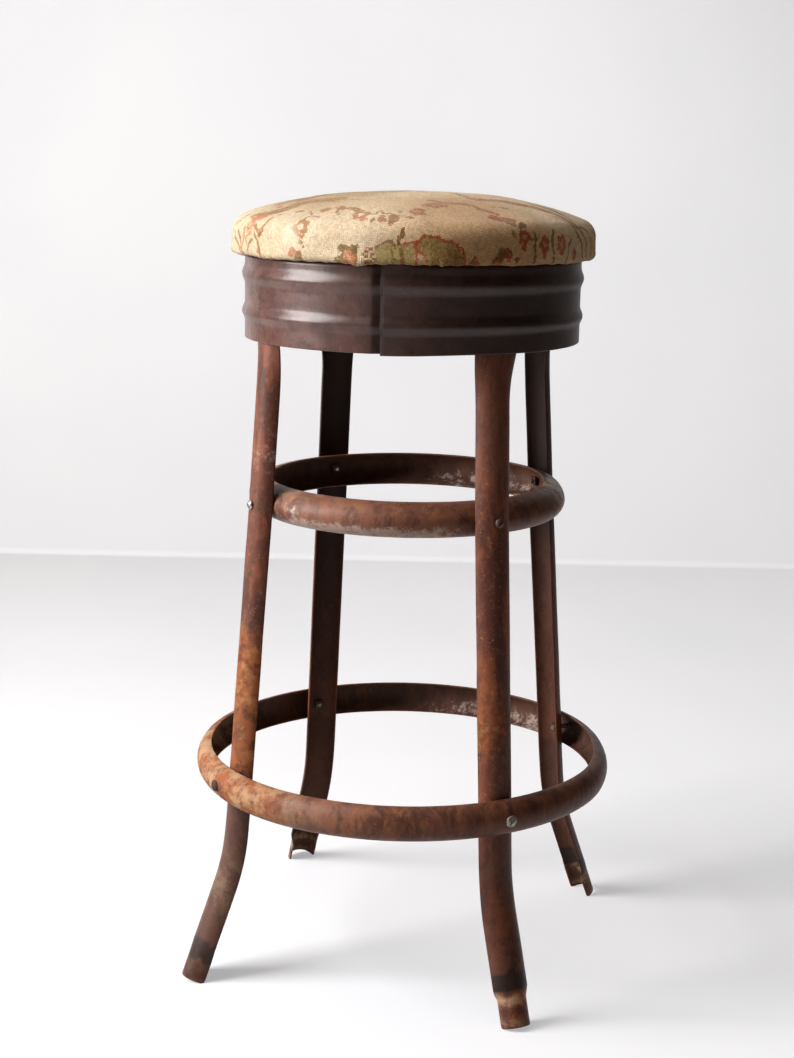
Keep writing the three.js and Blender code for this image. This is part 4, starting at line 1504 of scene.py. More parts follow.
# Stems and bands: places, width in mm and colours
STEMS = [
    ([(-112.0, 172), (-112.4, 164), (-111.4, 160), (-107.6, 163)], 2.6, UMBER, OCHRE),
    ([(-115.2, 150), (-112.2, 158)], 2.4, UMBER, OCHRE),
    ([(-110.9, 193.6), (-110.0, 195.4), (-109.4, 198)], 3.0, OLIVE, TAN),
    ([(-139, 168), (-134, 158), (-131, 150), (-131, 140), (-132, 128)], 17, OCHRE, TAN),
    ([(-133, 160), (-130, 150)], 8, RUST, OCHRE),
    ([(-132, 130), (-132, 120), (-128, 111), (-120, 103)], 22, OCHRE, TAN),
    ([(-135.4, 158), (-133, 148), (-134, 138)], 6, OLIVE, OCHRE),
    ([(-143, 118), (-150, 94), (-156, 72), (-170, 52)], 16, TAN, OLIVE),
    ([(-146, 140), (-150, 120), (-160, 98)], 12, TAN, OCHRE),
    ([(-126.4, 171), (-126.8, 178), (-128.4, 186), (-129, 190)], 5.0, OCHRE, UMBER),
    ([(-144.8, 168), (-146.4, 173), (-146.2, 178)], 4.2, OCHRE, UMBER),
    ([(-133.2, 180), (-130.2, 185), (-128.6, 190), (-127.4, 186)], 4.0, UMBER, OCHRE),
    ([(-131.8, 188), (-129.8, 196), (-128.6, 203), (-128, 212)], 3.6, UMBER, OLIVE),
    ([(-134.4, 188), (-137.2, 194), (-136.4, 199)], 3.0, CORAL, OCHRE),
    ([(-149.6, 196), (-144, 202), (-142, 207), (-140.4, 213)], 3.8, UMBER, OCHRE),
    ([(-144.8, 189), (-142, 196), (-141.4, 203), (-139.2, 209)], 3.8, UMBER, OCHRE),
    ([(-132.6, 195), (-134.8, 200), (-135.2, 206)], 3.6, UMBER, OLIVE),
    ([(-139.5, 185), (-138.6, 193), (-139.8, 201)], 4.0, OCHRE, CORAL),
    ([(-105.4, 139), (-104.2, 145), (-103.4, 150), (-101.2, 156)], 3.2, UMBER, OCHRE),
    ([(-105.0, 137), (-102.6, 142), (-100.6, 139), (-97.6, 141), (-95, 148)], 8, OCHRE, UMBER),
    ([(-90.6, 154), (-88.4, 157), (-88, 149), (-86.8, 146), (-85.6, 153), (-83.4, 153)], 2.6, UMBER,
     OLIVE),
    ([(-81.4, 159), (-78.4, 158), (-76.2, 163)], 2.2, OLIVE, UMBER),
    ([(-78.4, 180), (-79.2, 187), (-79.6, 193)], 3.4, UMBER, MOSS),
    ([(-67, 98), (-61, 112), (-52, 116)], 8, OCHRE, OLIVE),
    ([(-52, 116), (-48.6, 122), (-48.4, 134)], 4, UMBER, OCHRE),
    ([(-48.6, 134), (-47.2, 136), (-46, 141), (-44.8, 148)], 6, OCHRE, UMBER),
    ([(-42.0, 176), (-42, 184)], 2.6, MOSS, UMBER),
    ([(-38.6, 190), (-37, 189)], 2.6, UMBER, MOSS),
    ([(-37.2, 184), (-36.8, 191), (-37.2, 197), (-37, 210)], 3.0, MOSS, UMBER),
    ([(-28.8, 180), (-29.8, 187), (-30, 195), (-29.2, 201), (-29, 212)], 2.8, MOSS, OLIVE),
    ([(-20.6, 190), (-21.6, 195), (-22.6, 204), (-23, 211)], 2.6, MOSS, UMBER),
    ([(-16.6, 172), (-16.2, 180), (-15.6, 187), (-13.4, 192), (-12.4, 206)], 3.2, MOSS, UMBER),
    ([(-12.8, 177), (-11.4, 185), (-9.6, 192), (-9.4, 206)], 3.0, OLIVE, MOSS),
    ([(-5.2, 181), (-3.6, 192), (-5.2, 207)], 2.8, BRICK, UMBER),
    ([(-13.2, 178), (-8.5, 176), (-4.4, 180)], 3.4, OLIVE, MOSS),
    ([(-16, 40), (-30, 64), (-32, 82)], 17, TAN, OCHRE),
    ([(-32, 82), (-25, 93), (-20.5, 105), (-19, 117)], 20, OCHRE, RUST),
    ([(-19, 117), (-16, 127), (-14, 141)], 17, RUST, OCHRE),
    ([(-14, 141), (-11.6, 156), (-14, 174)], 12, OCHRE, MOSS),
    ([(-8, 120), (-5, 134), (-5, 150), (-8, 168)], 6, MOSS, OCHRE),
    ([(-18.6, 158), (-16.8, 166), (-14, 171)], 4.4, RUST, OCHRE),
    ([(-128.0, 104), (-120, 102), (-111, 104), (-103, 101)], 3.0, OLIVE, TAN),
    ([(-130.0, 118), (-121, 114), (-112, 116)], 3.0, OCHRE, TAN),
]

# The two broad leaves at the seat's front, side by side, with a stalk between their halves
LEFT_LEAF = [
    (-86.3, 197.6), (-84.8, 195.4), (-83.0, 192.6), (-81.2, 192.2), (-79.5, 193.5), (-78.0, 194.6),
    (-75.0, 194.2), (-74.8, 214), (-85.6, 214), (-86.2, 202.4),
]
RIGHT_LEAF = [
    (-74.2, 194.0), (-73.0, 188.8), (-72.2, 186.0), (-68.2, 186.0), (-67.4, 189.4), (-64.4, 190.6),
    (-62.8, 192.8), (-61.6, 196.8), (-60.8, 201.2), (-60.0, 214), (-70.6, 214), (-72.0, 204.4),
    (-73.8, 199.6), (-74.4, 196.8),
]
RIGHT_LEAF_SHADE = [(-65.5, 199), (-62.2, 196.5), (-60.8, 203), (-60.4, 214), (-66.0, 214)]
RIGHT_LEAF_VEIN = [(-71.4, 198), (-67, 196.6), (-63.6, 199)]
RIGHT_LEAF_OUTLINE = RIGHT_LEAF[:10]
STALK = [(-74.2, 193), (-74.4, 197), (-73.6, 200), (-72, 204.4), (-70.4, 213)]

# Stems over the left leaf: places, width in mm and colours
LEFT_LEAF_STEMS = [
    ([(-81.3, 192), (-81.0, 201), (-80.8, 214)], 4.6, MOSS, STRAW),
    ([(-79.5, 193), (-79.0, 201), (-78.2, 214)], 4.2, UMBER, MOSS),
    ([(-86.4, 197.4), (-85.0, 194.6), (-83, 191.8), (-81, 189.6)], 2.2, RUST, UMBER),
    ([(-78.2, 193.6), (-75.4, 192.2), (-73.2, 191.0)], 2.8, BRICK, RUST),
    ([(-75.0, 193), (-74.4, 202), (-74.5, 214)], 2.4, RUST, BRICK),
]

# Dark clusters beside the broad leaves, and a pale stem over the middle one
RIGHT_CLUSTER = [
    (-52.4, 212), (-51.0, 203), (-48.8, 198), (-46.8, 196.2), (-45.4, 199), (-45.6, 204.5),
    (-48.0, 205), (-49.4, 212),
]
SMALL_CLUSTER = [(-58.8, 213), (-57.4, 203), (-54.8, 213)]
LEFT_CLUSTER = [
    (-97.8, 197.5), (-94.5, 196.5), (-92.8, 199), (-91.2, 196), (-90.4, 200), (-90.8, 206),
    (-92.4, 214), (-98, 214), (-98.4, 207), (-96.4, 203),
]
MIDDLE_CLUSTER = [(-90, 199), (-88.6, 197.6), (-86.6, 198.4), (-85.6, 202), (-85.6, 214), (-90, 214)]
CLUSTER_STEM = [(-90.9, 198.5), (-90.8, 207)]

# Between the halves of the pattern: vines that sway alike, leaves and a flower
SIDE_VINES = ((3, UMBER), (8.5, MOSS), (20, MOSS), (25.5, OCHRE))
SIDE_SWAY = ((0, 180), (1.6, 190), (-0.8, 203), (0, 213))
SIDE_LEAVES = [(12, 176, 13, 7, -50, OLIVE, MOSS), (17.5, 177, 12, 6, 60, OLIVE, UMBER)]
SIDE_BLOOMS = [(14.3, 195, 17, 19, 5, BRICK, PINK), (14.3, 208, 8, 8, 3, CORAL)]

# In the middle of the seat: a flower, and leaves round it that are alike
CENTRE_BLOOM = (0, 0, 22, 22, 5, CORAL, PALE)
CENTRE_LEAVES = (20, 92, 164, 236, 308)
CENTRE_LEAF = (17, 15, 8, 12, OLIVE, TAN)

# Widths of single stems in mm
VEIN_WIDTH = 1.6
OUTLINE_WIDTH = 2.7
STALK_WIDTH = 2.4
CLUSTER_STEM_WIDTH = 4.0
SIDE_VINE_WIDTH = 2.8


def paint_broad_leaves(cloth):
    cloth.patch(MIDDLE_CLUSTER, UMBER, CREAM * 0.9)
    cloth.stem(CLUSTER_STEM, CLUSTER_STEM_WIDTH, PALE)
    cloth.patch(LEFT_LEAF, STRAW, STRAW * 0.82)
    for stem in LEFT_LEAF_STEMS:
        cloth.stem(*stem)
    cloth.patch(RIGHT_LEAF, STRAW * 0.92, OLIVE)
    cloth.patch(RIGHT_LEAF_SHADE, OLIVE, MOSS, 0.6)
    cloth.stem(RIGHT_LEAF_VEIN, VEIN_WIDTH, OLIVE, None, 0.6)
    for start, end in zip(RIGHT_LEAF_OUTLINE, RIGHT_LEAF_OUTLINE[1:]):
        cloth.stem([start, end], OUTLINE_WIDTH, BRICK, RUST)
    cloth.stem(STALK, STALK_WIDTH, RUST, BRICK)


def paint_motif(cloth):
    """Half the seat's pattern: broad leaves at the edge, flowers beside them, a garland above."""
    for stem in STEMS:
        cloth.stem(*stem)
    cloth.patch(RIGHT_CLUSTER, MOSS, UMBER)
    cloth.patch(SMALL_CLUSTER, RUST, UMBER)
    cloth.patch(LEFT_CLUSTER, UMBER, MOSS)
    for leaf in LEAVES:
        cloth.leaf(*leaf)
    for flower in BLOOMS:
        cloth.bloom(*flower)
    paint_broad_leaves(cloth)


def paint_side(cloth):
    for middle, colour in SIDE_VINES:
        places = [(middle + turn, distance) for turn, distance in SIDE_SWAY]
        cloth.stem(places, SIDE_VINE_WIDTH, colour, OLIVE)
    for leaf in SIDE_LEAVES:
        cloth.leaf(*leaf)
    for flower in SIDE_BLOOMS:
        cloth.bloom(*flower)


def paint_centre(cloth):
    for degrees_round in CENTRE_LEAVES:
        cloth.leaf(degrees_round, *CENTRE_LEAF)
    cloth.bloom(*CENTRE_BLOOM)


def tapestry_colours(stitches):
    """Linear colours with alpha for the stitches."""
    cloth = Cloth(stitches)
    paint_centre(cloth)
    for cloth.turn in (180, 0):
        paint_side(cloth)
        paint_motif(cloth)
    return finished(cloth, stitches)


def finished(cloth, stitches):
    """Fading, soiling and stray stitches over the whole cloth, its left darker and browner, painted
    shade on its right side and a painted highlight on faded cloth at its front left.
    """
    faded = (0.06 + 0.08 * noise_field(stitches, FADE_CELL, 51))[:, None]
    colour = cloth.colour * (1 - faded) + CREAM * faded
    distance = np.hypot(stitches[:, 0], stitches[:, 1])
    worn = 1 - smoothstep(distance, *WORN_DISTANCES)
    missing = (hashed(cloth.cell, 52) > 0.95 - 0.3 * worn)[:, None]
    colour = np.where(missing, colour * 0.45 + CREAM * 0.55, colour)
    uneven = 1 + 0.16 * (2 * hashed(cloth.cell, 53) - 1)
    uneven = uneven * (1 + 0.05 * noise_field(stitches, FADE_CELL, 54))
    colour = colour * uneven[:, None]
    worn = worn[:, None]
    facing = stitches[:, 0] / np.maximum(distance, STITCH)
    left = smoothstep(-facing, -0.2, 0.8)[:, None]
    tint = TOP_TINT * (1 - left) + LEFT_TINT * left
    colour = colour * (1 - worn + worn * tint) * (1 - 0.17 * left)
    soiled = smoothstep(distance, *SOILED_DISTANCES)[:, None]
    colour = colour * (1 - 0.3 * soiled) + TAN * 0.15 * soiled
    # Painted shade on the cloth's right side, eased at the far right
    right = smoothstep(facing, -0.1, 0.5) * (1 - 0.85 * smoothstep(facing, 0.75, 1.0))
    right = (right * smoothstep(distance, *RIGHT_SHADE_DISTANCES))[:, None]
    colour = colour * (1 - right) + colour * RIGHT_SHADE_TINT * right
    # A pale spot: a painted highlight on faded cloth
    away = np.linalg.norm(stitches - at(*FADED_HIGHLIGHT_SPOT), axis=1)
    spot = 0.4 * (1 - smoothstep(away, *FADED_HIGHLIGHT_SPOT_REACH))[:, None]
    colour = colour * (1 - spot) + FADED_HIGHLIGHT * spot
    return np.c_[np.clip(colour, 0, 1), np.ones(len(colour))]


# Materials

# How strong and how deep the relief of each surface is
OLD_PAINT_RELIEF = ((0.35, 0.0006), (0.5, 0.00025), (0.5, 0.00012), (0.35, 0.0002), (0.25, 0.00008))
SATIN_RELIEF = ((0.22, 0.0005), (0.4, 0.00015))
STEEL_RELIEF = ((0.4, 0.00015), (0.2, 0.00005))
PLYWOOD_RELIEF = ((0.4, 0.0003),)
COTTON_RELIEF = ((0.8, 0.0012),)
CLOTH_RELIEF = ((0.6, 0.0006), (0.5, 0.0004), (0.5, 0.0003))


class Nodes:
    """Writes a node tree. Numbers and colours go straight on sockets, outputs are linked."""

    def __init__(self, tree):
        self.tree = tree

    def node(self, kind, inputs=(), **settings):
        made = self.tree.nodes.new(kind)
        for name, value in settings.items():
            setattr(made, name, value)
        for name, value in dict(inputs).items():
            self.feed(made.inputs[name], value)
        return made

    def feed(self, socket, value):
        if isinstance(value, bpy.types.NodeSocket):
            self.tree.links.new(value, socket)
        else:
            socket.default_value = value

    def math(self, operation, first, second=0.5, clamp=False):
        inputs = {0: first, 1: second}
        made = self.node("ShaderNodeMath", inputs, operation=operation, use_clamp=clamp)
        return made.outputs[0]

    def times(self, first, second):
        return self.math("MULTIPLY", first, second)

    def plus(self, first, second, clamp=False):
        return self.math("ADD", first, second, clamp)

    def vector(self, operation, first):
        return self.node("ShaderNodeVectorMath", {0: first}, operation=operation)

    def ramp(self, value, low, high, first, last, kind="SMOOTHSTEP"):
        """first below low and last above high."""
        limits = {"From Min": low, "From Max": high, "To Min": first, "To Max": last}
        inputs = {"Value": value, **limits}
        return self.node("ShaderNodeMapRange", inputs, interpolation_type=kind).outputs["Result"]

    def band(self, value, low, high, top=1.0):
        """0 below low, top above high, and smooth between."""
        return self.ramp(value, low, high, 0.0, top)

    def between(self, factor, low, high):
        """A number that runs from low to high with the factor."""
        return self.ramp(factor, 0.0, 1.0, low, high, "LINEAR")

    def rays(self):
        """Camera rays alone, and camera, glossy and transmission rays together, as 0 or 1."""
        path = self.node("ShaderNodeLightPath").outputs
        seen = self.math("MAXIMUM", path["Is Camera Ray"], path["Is Glossy Ray"])
        return path["Is Camera Ray"], self.math("MAXIMUM", seen, path["Is Transmission Ray"])


class Shader(Nodes):
    """A material and its nodes."""

    def __init__(self, name):
        self.material = bpy.data.materials.new(name)
        self.material.use_nodes = True
        super().__init__(self.material.node_tree)
        self.surface = self.tree.nodes["Principled BSDF"]
        self.place = self.node("ShaderNodeTexCoord").outputs["Object"]

    def set(self, **inputs):
        for name, value in inputs.items():
            self.feed(self.surface.inputs[name.replace("_", " ")], value)

    def stretched(self, *scales):
        inputs = {"Vector": self.place, "Scale": scales}
        return self.node("ShaderNodeMapping", inputs).outputs["Vector"]

    def noise(self, scale, detail, roughness, vector=None, distortion=0.0):
        inputs = {
            "Vector": vector or self.place,
            "Scale": scale,
            "Detail": detail,
            "Roughness": roughness,
            "Distortion": distortion,
        }
        return self.node("ShaderNodeTexNoise", inputs).outputs["Fac"]

    def attribute(self, name, output="Fac"):
        return self.node("ShaderNodeAttribute", attribute_name=name).outputs[output]

    def blend(self, factor, first, second):
        made = self.node("ShaderNodeMix", {0: factor}, data_type="RGBA")
        for socket, value in ((made.inputs[6], first), (made.inputs[7], second)):
            self.feed(socket, value if isinstance(value, bpy.types.NodeSocket) else (*value, 1.0))
        return made.outputs[2]

    def layers(self, colour, *layers):
        """Lays layers over a colour. Each has how far it covers and its own colour."""
        for factor, tone in layers:
            colour = self.blend(factor, colour, tone)
        return colour

    def coats(self, colour, *coats):
        """Lays coats over a colour: a mask, where it starts and is full, its top and its colour."""
        return self.layers(colour, *((self.band(*coat[:4]), coat[4]) for coat in coats))

    def relief(self, sizes, *heights):
        """Bumps the surface by each height in turn, with the strengths and depths given."""
        normal = self.surface.inputs["Normal"]
        for height, (strength, depth) in zip(heights, sizes):
            inputs = {"Height": height, "Strength": strength, "Distance": depth}
            made = self.node("ShaderNodeBump", inputs)
            if normal.links:
                self.tree.links.new(normal.links[0].from_socket, made.inputs["Normal"])
            self.tree.links.new(made.outputs["Normal"], normal)


def painted_steel(name, base, deep, warm, coat_rust):
    """Old brown paint over steel, with rust, stains, dust and bare specks. The stain layer also
    paints shade, the dust layer also a sheen, the ochre layer also light on the rings' lit side, and
    the inner faces are darkened with grime and painted shade.
    """
    shader = Shader(name)
    streaked = shader.stretched(1.0, 1.0, 0.38)
    broad = shader.noise(13.0, 5.0, 0.6, streaked)
    mottle = shader.noise(46.0, 7.0, 0.65, streaked, 0.6)
    fine = shader.noise(210.0, 6.0, 0.7)
    blotch = shader.noise(62.0, 9.0, 0.72, streaked, 0.4)
    fleck = shader.noise(330.0, 4.0, 0.6)
    scratch = shader.noise(150.0, 6.0, 0.7, shader.stretched(1.0, 1.0, 0.1), 0.3)
    colour = shader.coats(
        base,
        (broad, 0.36, 0.66, 1.0, deep),
        (mottle, 0.46, 0.62, 0.6, warm),
        (blotch, 0.50, 0.60, 0.6, srgb(64, 38, 31)),
        (blotch, 0.44, 0.36, 0.35, srgb(150, 98, 72)),
        (fine, 0.52, 0.70, 0.30, srgb(160, 112, 90)),
        (fleck, 0.64, 0.70, 0.7, srgb(178, 122, 78)),
        (scratch, 0.66, 0.72, 0.55, srgb(176, 146, 130)),
    )
    patch = shader.noise(75.0, 5.0, 0.6, None, 0.3)
    bright = shader.noise(48.0, 8.0, 0.72)
    rust_tone = shader.coats(
        srgb(104, 56, 32),
        (patch, 0.36, 0.56, 1.0, srgb(158, 92, 52)),
        (bright, 0.48, 0.62, 0.85, srgb(186, 132, 80)),
        (fine, 0.58, 0.72, 0.5, srgb(92, 56, 40)),
    )
    rust_level = shader.plus(shader.attribute("rust"), coat_rust)
    rust_level = shader.plus(rust_level, shader.times(mottle, 0.55))
    rust_level = shader.plus(rust_level, shader.times(fine, 0.25))
    rusty = shader.band(rust_level, 0.50, 0.74)
    inner = shader.attribute("inner")
    # Inner faces darker: grime and painted shade in the channels' hollows
    grime_and_shade = shader.times(shader.times(inner, shader.between(broad, 0.35, 1.0)), 0.75)
    stain = shader.attribute("stain")
    # Dark stains, which on the back legs and the rings are painted shade
    patchy = shader.times(stain, shader.between(shader.band(mottle, 0.3, 0.5), 0.5, 0.8))
    patchy = shader.math("MAXIMUM", patchy, shader.band(stain, 0.8, 0.95, 0.93))
    # Pale ochre, which on the rings' lit side is partly painted light
    ochre = shader.times(shader.attribute("ochre"), shader.band(bright, 0.42, 0.60))
    # Dust, which on the upper legs and the rings' lit side is partly a painted sheen
    dusty = shader.times(shader.attribute("dust"), shader.between(mottle, 0.1, 1.1))
    bare_level = shader.times(shader.attribute("bare"), 0.36)
    bare = shader.band(shader.plus(bare_level, shader.noise(95.0, 9.0, 0.8)), 0.68, 0.86)
    colour = shader.layers(
        colour,
        (rusty, rust_tone),
        (grime_and_shade, srgb(64, 44, 35)),
        (patchy, srgb(25, 15, 13)),
        (ochre, srgb(198, 164, 130)),
        (dusty, srgb(86, 69, 61)),
        (shader.times(bare, 0.85), srgb(194, 174, 164)),
    )
    roughness = shader.plus(shader.between(fine, 0.36, 0.58), shader.times(rusty, 0.28))
    roughness = shader.plus(roughness, shader.times(inner, 0.2), True)
    shader.set(Base_Color=colour, Roughness=roughness, Specular_IOR_Level=0.27)
    grain = shader.noise(900.0, 3.0, 0.6)
    shader.relief(OLD_PAINT_RELIEF, mottle, rusty, shader.times(bare, -1.0), fine, grain)
    return shader.material


def skirt_paint():
    """Satin reddish-brown paint, darker in blotches, with fine scratches and dust. Its right side and
    seam are darkened with painted shade, and its inner faces with grime and painted shade.
    """
    shader = Shader("satin skirt paint")
    broad = shader.noise(9.0, 5.0, 0.6)
    mottle = shader.noise(60.0, 7.0, 0.68, shader.stretched(1.0, 1.0, 1.8), 0.2)
    fine = shader.noise(260.0, 6.0, 0.7)
    blotch = shader.noise(38.0, 8.0, 0.7, None, 0.4)
    scratch = shader.noise(90.0, 8.0, 0.8, shader.stretched(0.6, 0.6, 3.0))
    colour = shader.coats(
        srgb(98, 69, 62),
        (broad, 0.35, 0.65, 1.0, srgb(78, 50, 43)),
        (blotch, 0.50, 0.56, 0.6, srgb(62, 38, 33)),
        (blotch, 0.47, 0.42, 0.45, srgb(116, 86, 80)),
        (mottle, 0.47, 0.62, 0.55, srgb(100, 64, 52)),
        (scratch, 0.66, 0.76, 0.35, srgb(120, 92, 80)),
        (fine, 0.60, 0.78, 0.25, srgb(104, 74, 64)),
    )
    inner, stain = shader.attribute("inner"), shader.attribute("stain")
    colour = shader.layers(
        colour,
        (shader.times(shader.attribute("rust"), shader.band(mottle, 0.36, 0.6)), srgb(104, 54, 36)),
        # Near-black over the stain numbers: painted shade on the right side and at the seam
        (shader.times(stain, shader.between(broad, 0.7, 1.2)), srgb(14, 4, 2)),
        # Darker inner faces: grime and painted shade, and painted shade on the seam's outer end
        (shader.times(inner, 0.6), srgb(48, 30, 24)),
    )
    roughness = shader.plus(shader.between(mottle, 0.18, 0.34), shader.between(fine, -0.08, 0.12))
    roughness = shader.plus(roughness, shader.times(stain, 0.22))
    roughness = shader.plus(roughness, shader.times(inner, 0.4), True)
    shader.set(Base_Color=colour, Roughness=roughness, Specular_IOR_Level=0.5)
    shader.relief(SATIN_RELIEF, mottle, fine)
    return shader.material


def worn_steel(name, base, dark, rough, shine):
    shader = Shader(name)
    mottle = shader.noise(420.0, 6.0, 0.65)
    colour = shader.coats(base, (mottle, 0.38, 0.66, 1.0, dark))
    roughness = shader.between(mottle, rough - 0.08, rough + 0.16)
    shader.set(Base_Color=colour, Metallic=shine, Roughness=roughness)
    shader.relief(STEEL_RELIEF, mottle, shader.noise(1800.0, 4.0, 0.7))
    return shader.material


def plywood():
    shader = Shader("plywood")
    grain = shader.noise(22.0, 9.0, 0.6, shader.stretched(1.0, 14.0, 1.0), 0.8)
    fine = shader.noise(300.0, 5.0, 0.7, shader.stretched(1.0, 9.0, 1.0))
    waves = {"Vector": shader.place, "Scale": 110.0, "Distortion": 0.4}
    plies = shader.node("ShaderNodeTexWave", waves, bands_direction="Z").outputs["Fac"]
    colour = shader.coats(
        srgb(176, 140, 96),
        (grain, 0.35, 0.68, 1.0, srgb(132, 94, 58)),
        (plies, 0.4, 0.9, 0.25, srgb(110, 76, 46)),
    )
    shader.set(Base_Color=colour, Roughness=shader.between(fine, 0.65, 0.9))
    shader.relief(PLYWOOD_RELIEF, fine)
    return shader.material


def cotton():
    shader = Shader("cotton wadding")
    fluff = shader.noise(180.0, 9.0, 0.75, None, 1.2)
    colour = shader.coats(srgb(214, 200, 172), (fluff, 0.35, 0.7, 1.0, srgb(178, 160, 128)))
    shader.set(Base_Color=colour, Roughness=0.97)
    shader.relief(COTTON_RELIEF, fluff)
    return shader.material


def tapestry():
    """Coarse weave: each stitch is a raised knot with its own colour."""
    shader = Shader("floral tapestry")
    weave = shader.attribute("weave", "Vector")
    turned = shader.vector("SCALE", weave)
    turned.inputs["Scale"].default_value = math.pi
    waves = shader.vector("ABSOLUTE", shader.vector("SINE", turned.outputs[0]).outputs[0])
    parts = shader.node("ShaderNodeSeparateXYZ", {0: waves.outputs[0]}).outputs
    knot = shader.math("POWER", shader.times(parts[0], parts[1]), 0.7)
    yarn = shader.node("ShaderNodeSeparateXYZ", {0: weave}).outputs
    slant = shader.times(shader.math("SUBTRACT", yarn[0], yarn[1]), math.pi)
    strands = shader.math("ABSOLUTE", shader.math("SINE", slant))
    fuzz = shader.noise(1500.0, 5.0, 0.75)
    # The colour is darkened in the hollows between knots and along the strands: painted shade, with
    # random fuzz
    shade = shader.times(shader.between(knot, 0.80, 1.12), shader.between(strands, 0.62, 1.14))
    shade = shader.times(shade, shader.between(fuzz, 0.82, 1.18))
    colour = shader.vector("SCALE", shader.attribute("stitches", "Color"))
    shader.feed(colour.inputs["Scale"], shade)
    shader.set(Base_Color=colour.outputs[0], Roughness=0.92, Specular_IOR_Level=0.2)
    shader.set(Sheen_Weight=0.2, Sheen_Roughness=0.5)
    shader.relief(CLOTH_RELIEF, knot, strands, fuzz)
    return shader.material


# The stool


def build_stool():
    leg_tones = (srgb(134, 77, 57), srgb(84, 45, 34), srgb(152, 84, 50))
    ring_tones = (srgb(134, 86, 68), srgb(88, 48, 36), srgb(160, 104, 70))
    leg_material = painted_steel("worn leg paint", *leg_tones, -0.10)
    ring_material = painted_steel("worn ring paint", *ring_tones, -0.10)
    bright = worn_steel("bright steel", srgb(190, 188, 184), srgb(126, 118, 110), 0.34, 1.0)
    tarnished = worn_steel("tarnished steel", srgb(168, 164, 154), srgb(104, 92, 80), 0.45, 0.6)
    dull = worn_steel("dull steel", srgb(74, 52, 42), srgb(44, 30, 25), 0.65, 0.2)
    brown = worn_steel("painted screw", srgb(96, 64, 54), srgb(60, 40, 34), 0.5, 0.0)
    for place, (azimuth, _) in PLACES.items():
        add_leg(place, azimuth, leg_material)
    for seed, name in enumerate(RINGS, 7):
        add_ring(name, ring_material, seed)
    add_skirt(skirt_paint())
    heads = {("lower", place): tarnished for place in PLACES}
    heads.update({("upper", place): bright for place in PLACES})
    heads["upper", "front_right"] = brown
    heads["upper", "back_right"] = brown
    heads["lower", "front_left"] = dull
    add_ring_fasteners(heads, dull)
    add_seat_screws(dull)
    add_tacks(dull)
    add_board(plywood())
    add_padding(cotton())
    add_cover(tapestry(), swollen_cover())


# Floor, wall, world, lamps and camera

# Where the floor's glow changes, along directions across and ahead of the view and with distance
VIEW_ACROSS = (math.cos(VIEW_AZIMUTH), math.sin(VIEW_AZIMUTH), -0.2)
VIEW_AHEAD = (math.sin(VIEW_AZIMUTH), -math.cos(VIEW_AZIMUTH), 0.0)
FADE_ACROSS = (-1.5, -0.5)
FADE_AWAY = (2.0, 2.8)
GLOW_ACROSS = (-1.1, 0.3)
BESIDE_ACROSS = (0.9, 1.5)
OUTER_AHEAD = (-1.2, -0.6)
OUTER_AWAY = (1.4, 2.4)
GLOW_TINT = (0.94, 0.96, 1.0, 1.0)

# The world's light, and the pale room that some rays see instead: its strength with the height
# and across, each from low to high with the values at both ends
WORLD_LIGHT = (1.0, 0.82, 0.66, 1.0)
WORLD_STRENGTH = 0.175
ROOM_TINT = (0.83, 0.83, 0.88, 1.0)
ROOM_UP = (0.02, 0.4, 0.36, 0.06)
ROOM_ACROSS = (-0.7, 0.2, 1.5, 0.06)


def add_backdrop():
    """A pale floor and a wall behind the stool. Both are clear when seen from their backs."""
    view = np.array([-math.sin(VIEW_AZIMUTH), math.cos(VIEW_AZIMUTH)])
    side = np.array([view[1], -view[0]])
    bend = WALL_DISTANCE - WALL_BEND
    rows = [(-FLOOR_REACH, 0), (bend, 0)]
    for a in np.linspace(0, math.pi / 2, WALL_BEND_POINTS)[1:]:
        rows.append((bend + WALL_BEND * math.sin(a), WALL_BEND * (1 - math.cos(a))))
    rows.append((WALL_DISTANCE, WALL_HEIGHT))
    points = []
    for along, height in rows:
        for hand in (-FLOOR_REACH, FLOOR_REACH):
            points.append((*(view * along + side * hand), height))
    faces = [(2 * k, 2 * k + 1, 2 * k + 3, 2 * k + 2) for k in range(len(rows) - 1)]
    for hand in (FLOOR_REACH, -FLOOR_REACH):
        points.append((*(view * FLOOR_REACH + side * hand), 0))
    faces.append((2, 3, len(points) - 2, len(points) - 1))
    mesh = new_mesh(points, faces)
    smooth(mesh)
    mesh.materials.append(backdrop_material())
    placed("backdrop", mesh)


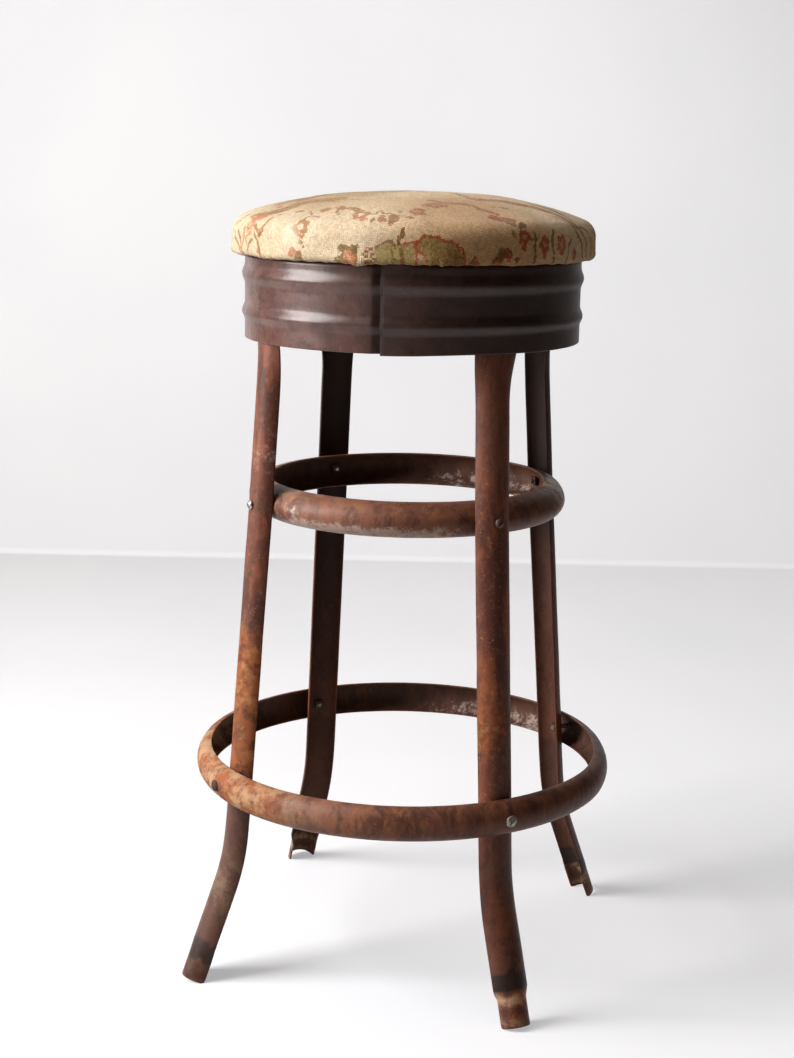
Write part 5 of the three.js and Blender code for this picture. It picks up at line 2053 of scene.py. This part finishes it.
def backdrop_material():
    shader = Shader("pale floor")
    camera, seen = shader.rays()
    colour = shader.coats(
        srgb(212, 213, 215),
        (shader.noise(2.2, 4.0, 0.5), 0.3, 0.7, 1.0, srgb(206, 208, 211)),
        (shader.noise(160.0, 5.0, 0.7), 0.72, 0.78, 0.35, srgb(150, 146, 140)),
    )
    colour = shader.blend(seen, srgb(154, 146, 138), colour)
    shader.set(Base_Color=colour, Roughness=0.85, Specular_IOR_Level=0.2, Emission_Color=GLOW_TINT)
    distance = shader.vector("LENGTH", shader.place).outputs["Value"]
    measured = []
    for direction in (VIEW_ACROSS, VIEW_AHEAD):
        made = shader.vector("DOT_PRODUCT", shader.place)
        made.inputs[1].default_value = direction
        measured.append(made.outputs["Value"])
    across, ahead = measured
    fade = shader.between(shader.band(across, *FADE_ACROSS), 0.2, 0.98)
    fade = shader.times(fade, shader.band(distance, *FADE_AWAY))
    glow = shader.between(shader.band(across, *GLOW_ACROSS), 0.29, 0.40)
    glow = shader.times(shader.math("SUBTRACT", 1.0, fade), glow)
    beside = shader.band(across, *BESIDE_ACROSS, 0.9)
    glow = shader.times(glow, shader.math("SUBTRACT", 1.0, beside))
    outer = shader.times(shader.band(ahead, *OUTER_AHEAD, 0.6), shader.band(distance, *OUTER_AWAY))
    glow = shader.plus(shader.times(seen, glow), shader.times(outer, camera))
    shader.set(Emission_Strength=glow)
    behind = shader.node("ShaderNodeNewGeometry").outputs["Backfacing"]
    clear = shader.node("ShaderNodeBsdfTransparent").outputs["BSDF"]
    sides = {0: behind, 1: shader.surface.outputs["BSDF"], 2: clear}
    mixed = shader.node("ShaderNodeMixShader", sides)
    shader.feed(shader.tree.nodes["Material Output"].inputs["Surface"], mixed.outputs[0])
    return shader.material


def add_world():
    """Soft warm light. Camera, glossy and transmission rays see a pale room instead."""
    world = bpy.data.worlds.new("studio")
    bpy.context.scene.world = world
    world.use_nodes = True
    nodes = Nodes(world.node_tree)
    soft = nodes.tree.nodes["Background"]
    soft.inputs["Color"].default_value = WORLD_LIGHT
    soft.inputs["Strength"].default_value = WORLD_STRENGTH
    place = nodes.node("ShaderNodeTexCoord").outputs["Generated"]
    parts = nodes.node("ShaderNodeSeparateXYZ", {0: place}).outputs
    up = nodes.ramp(parts["Z"], *ROOM_UP)
    across = nodes.ramp(parts["X"], *ROOM_ACROSS, "LINEAR")
    camera, seen = nodes.rays()
    strength = nodes.math("MAXIMUM", nodes.times(up, across), camera)
    room = nodes.node("ShaderNodeBackground", {"Color": ROOM_TINT, "Strength": strength})
    kinds = {0: seen, 1: soft.outputs[0], 2: room.outputs[0]}
    mixed = nodes.node("ShaderNodeMixShader", kinds)
    nodes.feed(nodes.tree.nodes["World Output"].inputs["Surface"], mixed.outputs[0])


def add_lamp(name, azimuth, distance, height, width, length, power, colour, aim):
    lamp = bpy.data.lights.new(name, "AREA")
    lamp.shape = "RECTANGLE"
    lamp.size = width
    lamp.size_y = length
    lamp.energy = power
    lamp.color = colour
    made = placed(name, lamp)
    made.visible_camera = False
    angle = math.radians(azimuth)
    place = Vector((math.cos(angle) * distance, math.sin(angle) * distance, height))
    turn = (place - Vector((0, 0, aim))).to_track_quat("Z", "Y").to_matrix().to_4x4()
    made.matrix_world = Matrix.Translation(place) @ turn


def add_camera():
    data = bpy.data.cameras.new("camera")
    data.lens = CAMERA_LENS
    camera = placed("camera", data)
    out = CAMERA_DISTANCE * math.sin(VIEW_AZIMUTH)
    place = Vector((out, -CAMERA_DISTANCE * math.cos(VIEW_AZIMUTH), CAMERA_HEIGHT))
    aim = Matrix.Rotation(CAMERA_TURN, 4, "Z")
    aim = aim @ Matrix.Rotation(CAMERA_PITCH, 4, "X") @ Matrix.Rotation(CAMERA_ROLL, 4, "Z")
    camera.matrix_world = Matrix.Translation(place) @ aim
    bpy.context.scene.camera = camera


bpy.context.scene.view_settings.view_transform = "Standard"
build_stool()
add_backdrop()
add_world()
for lamp_name, sizes in LAMPS.items():
    add_lamp(lamp_name, *sizes)
add_camera()
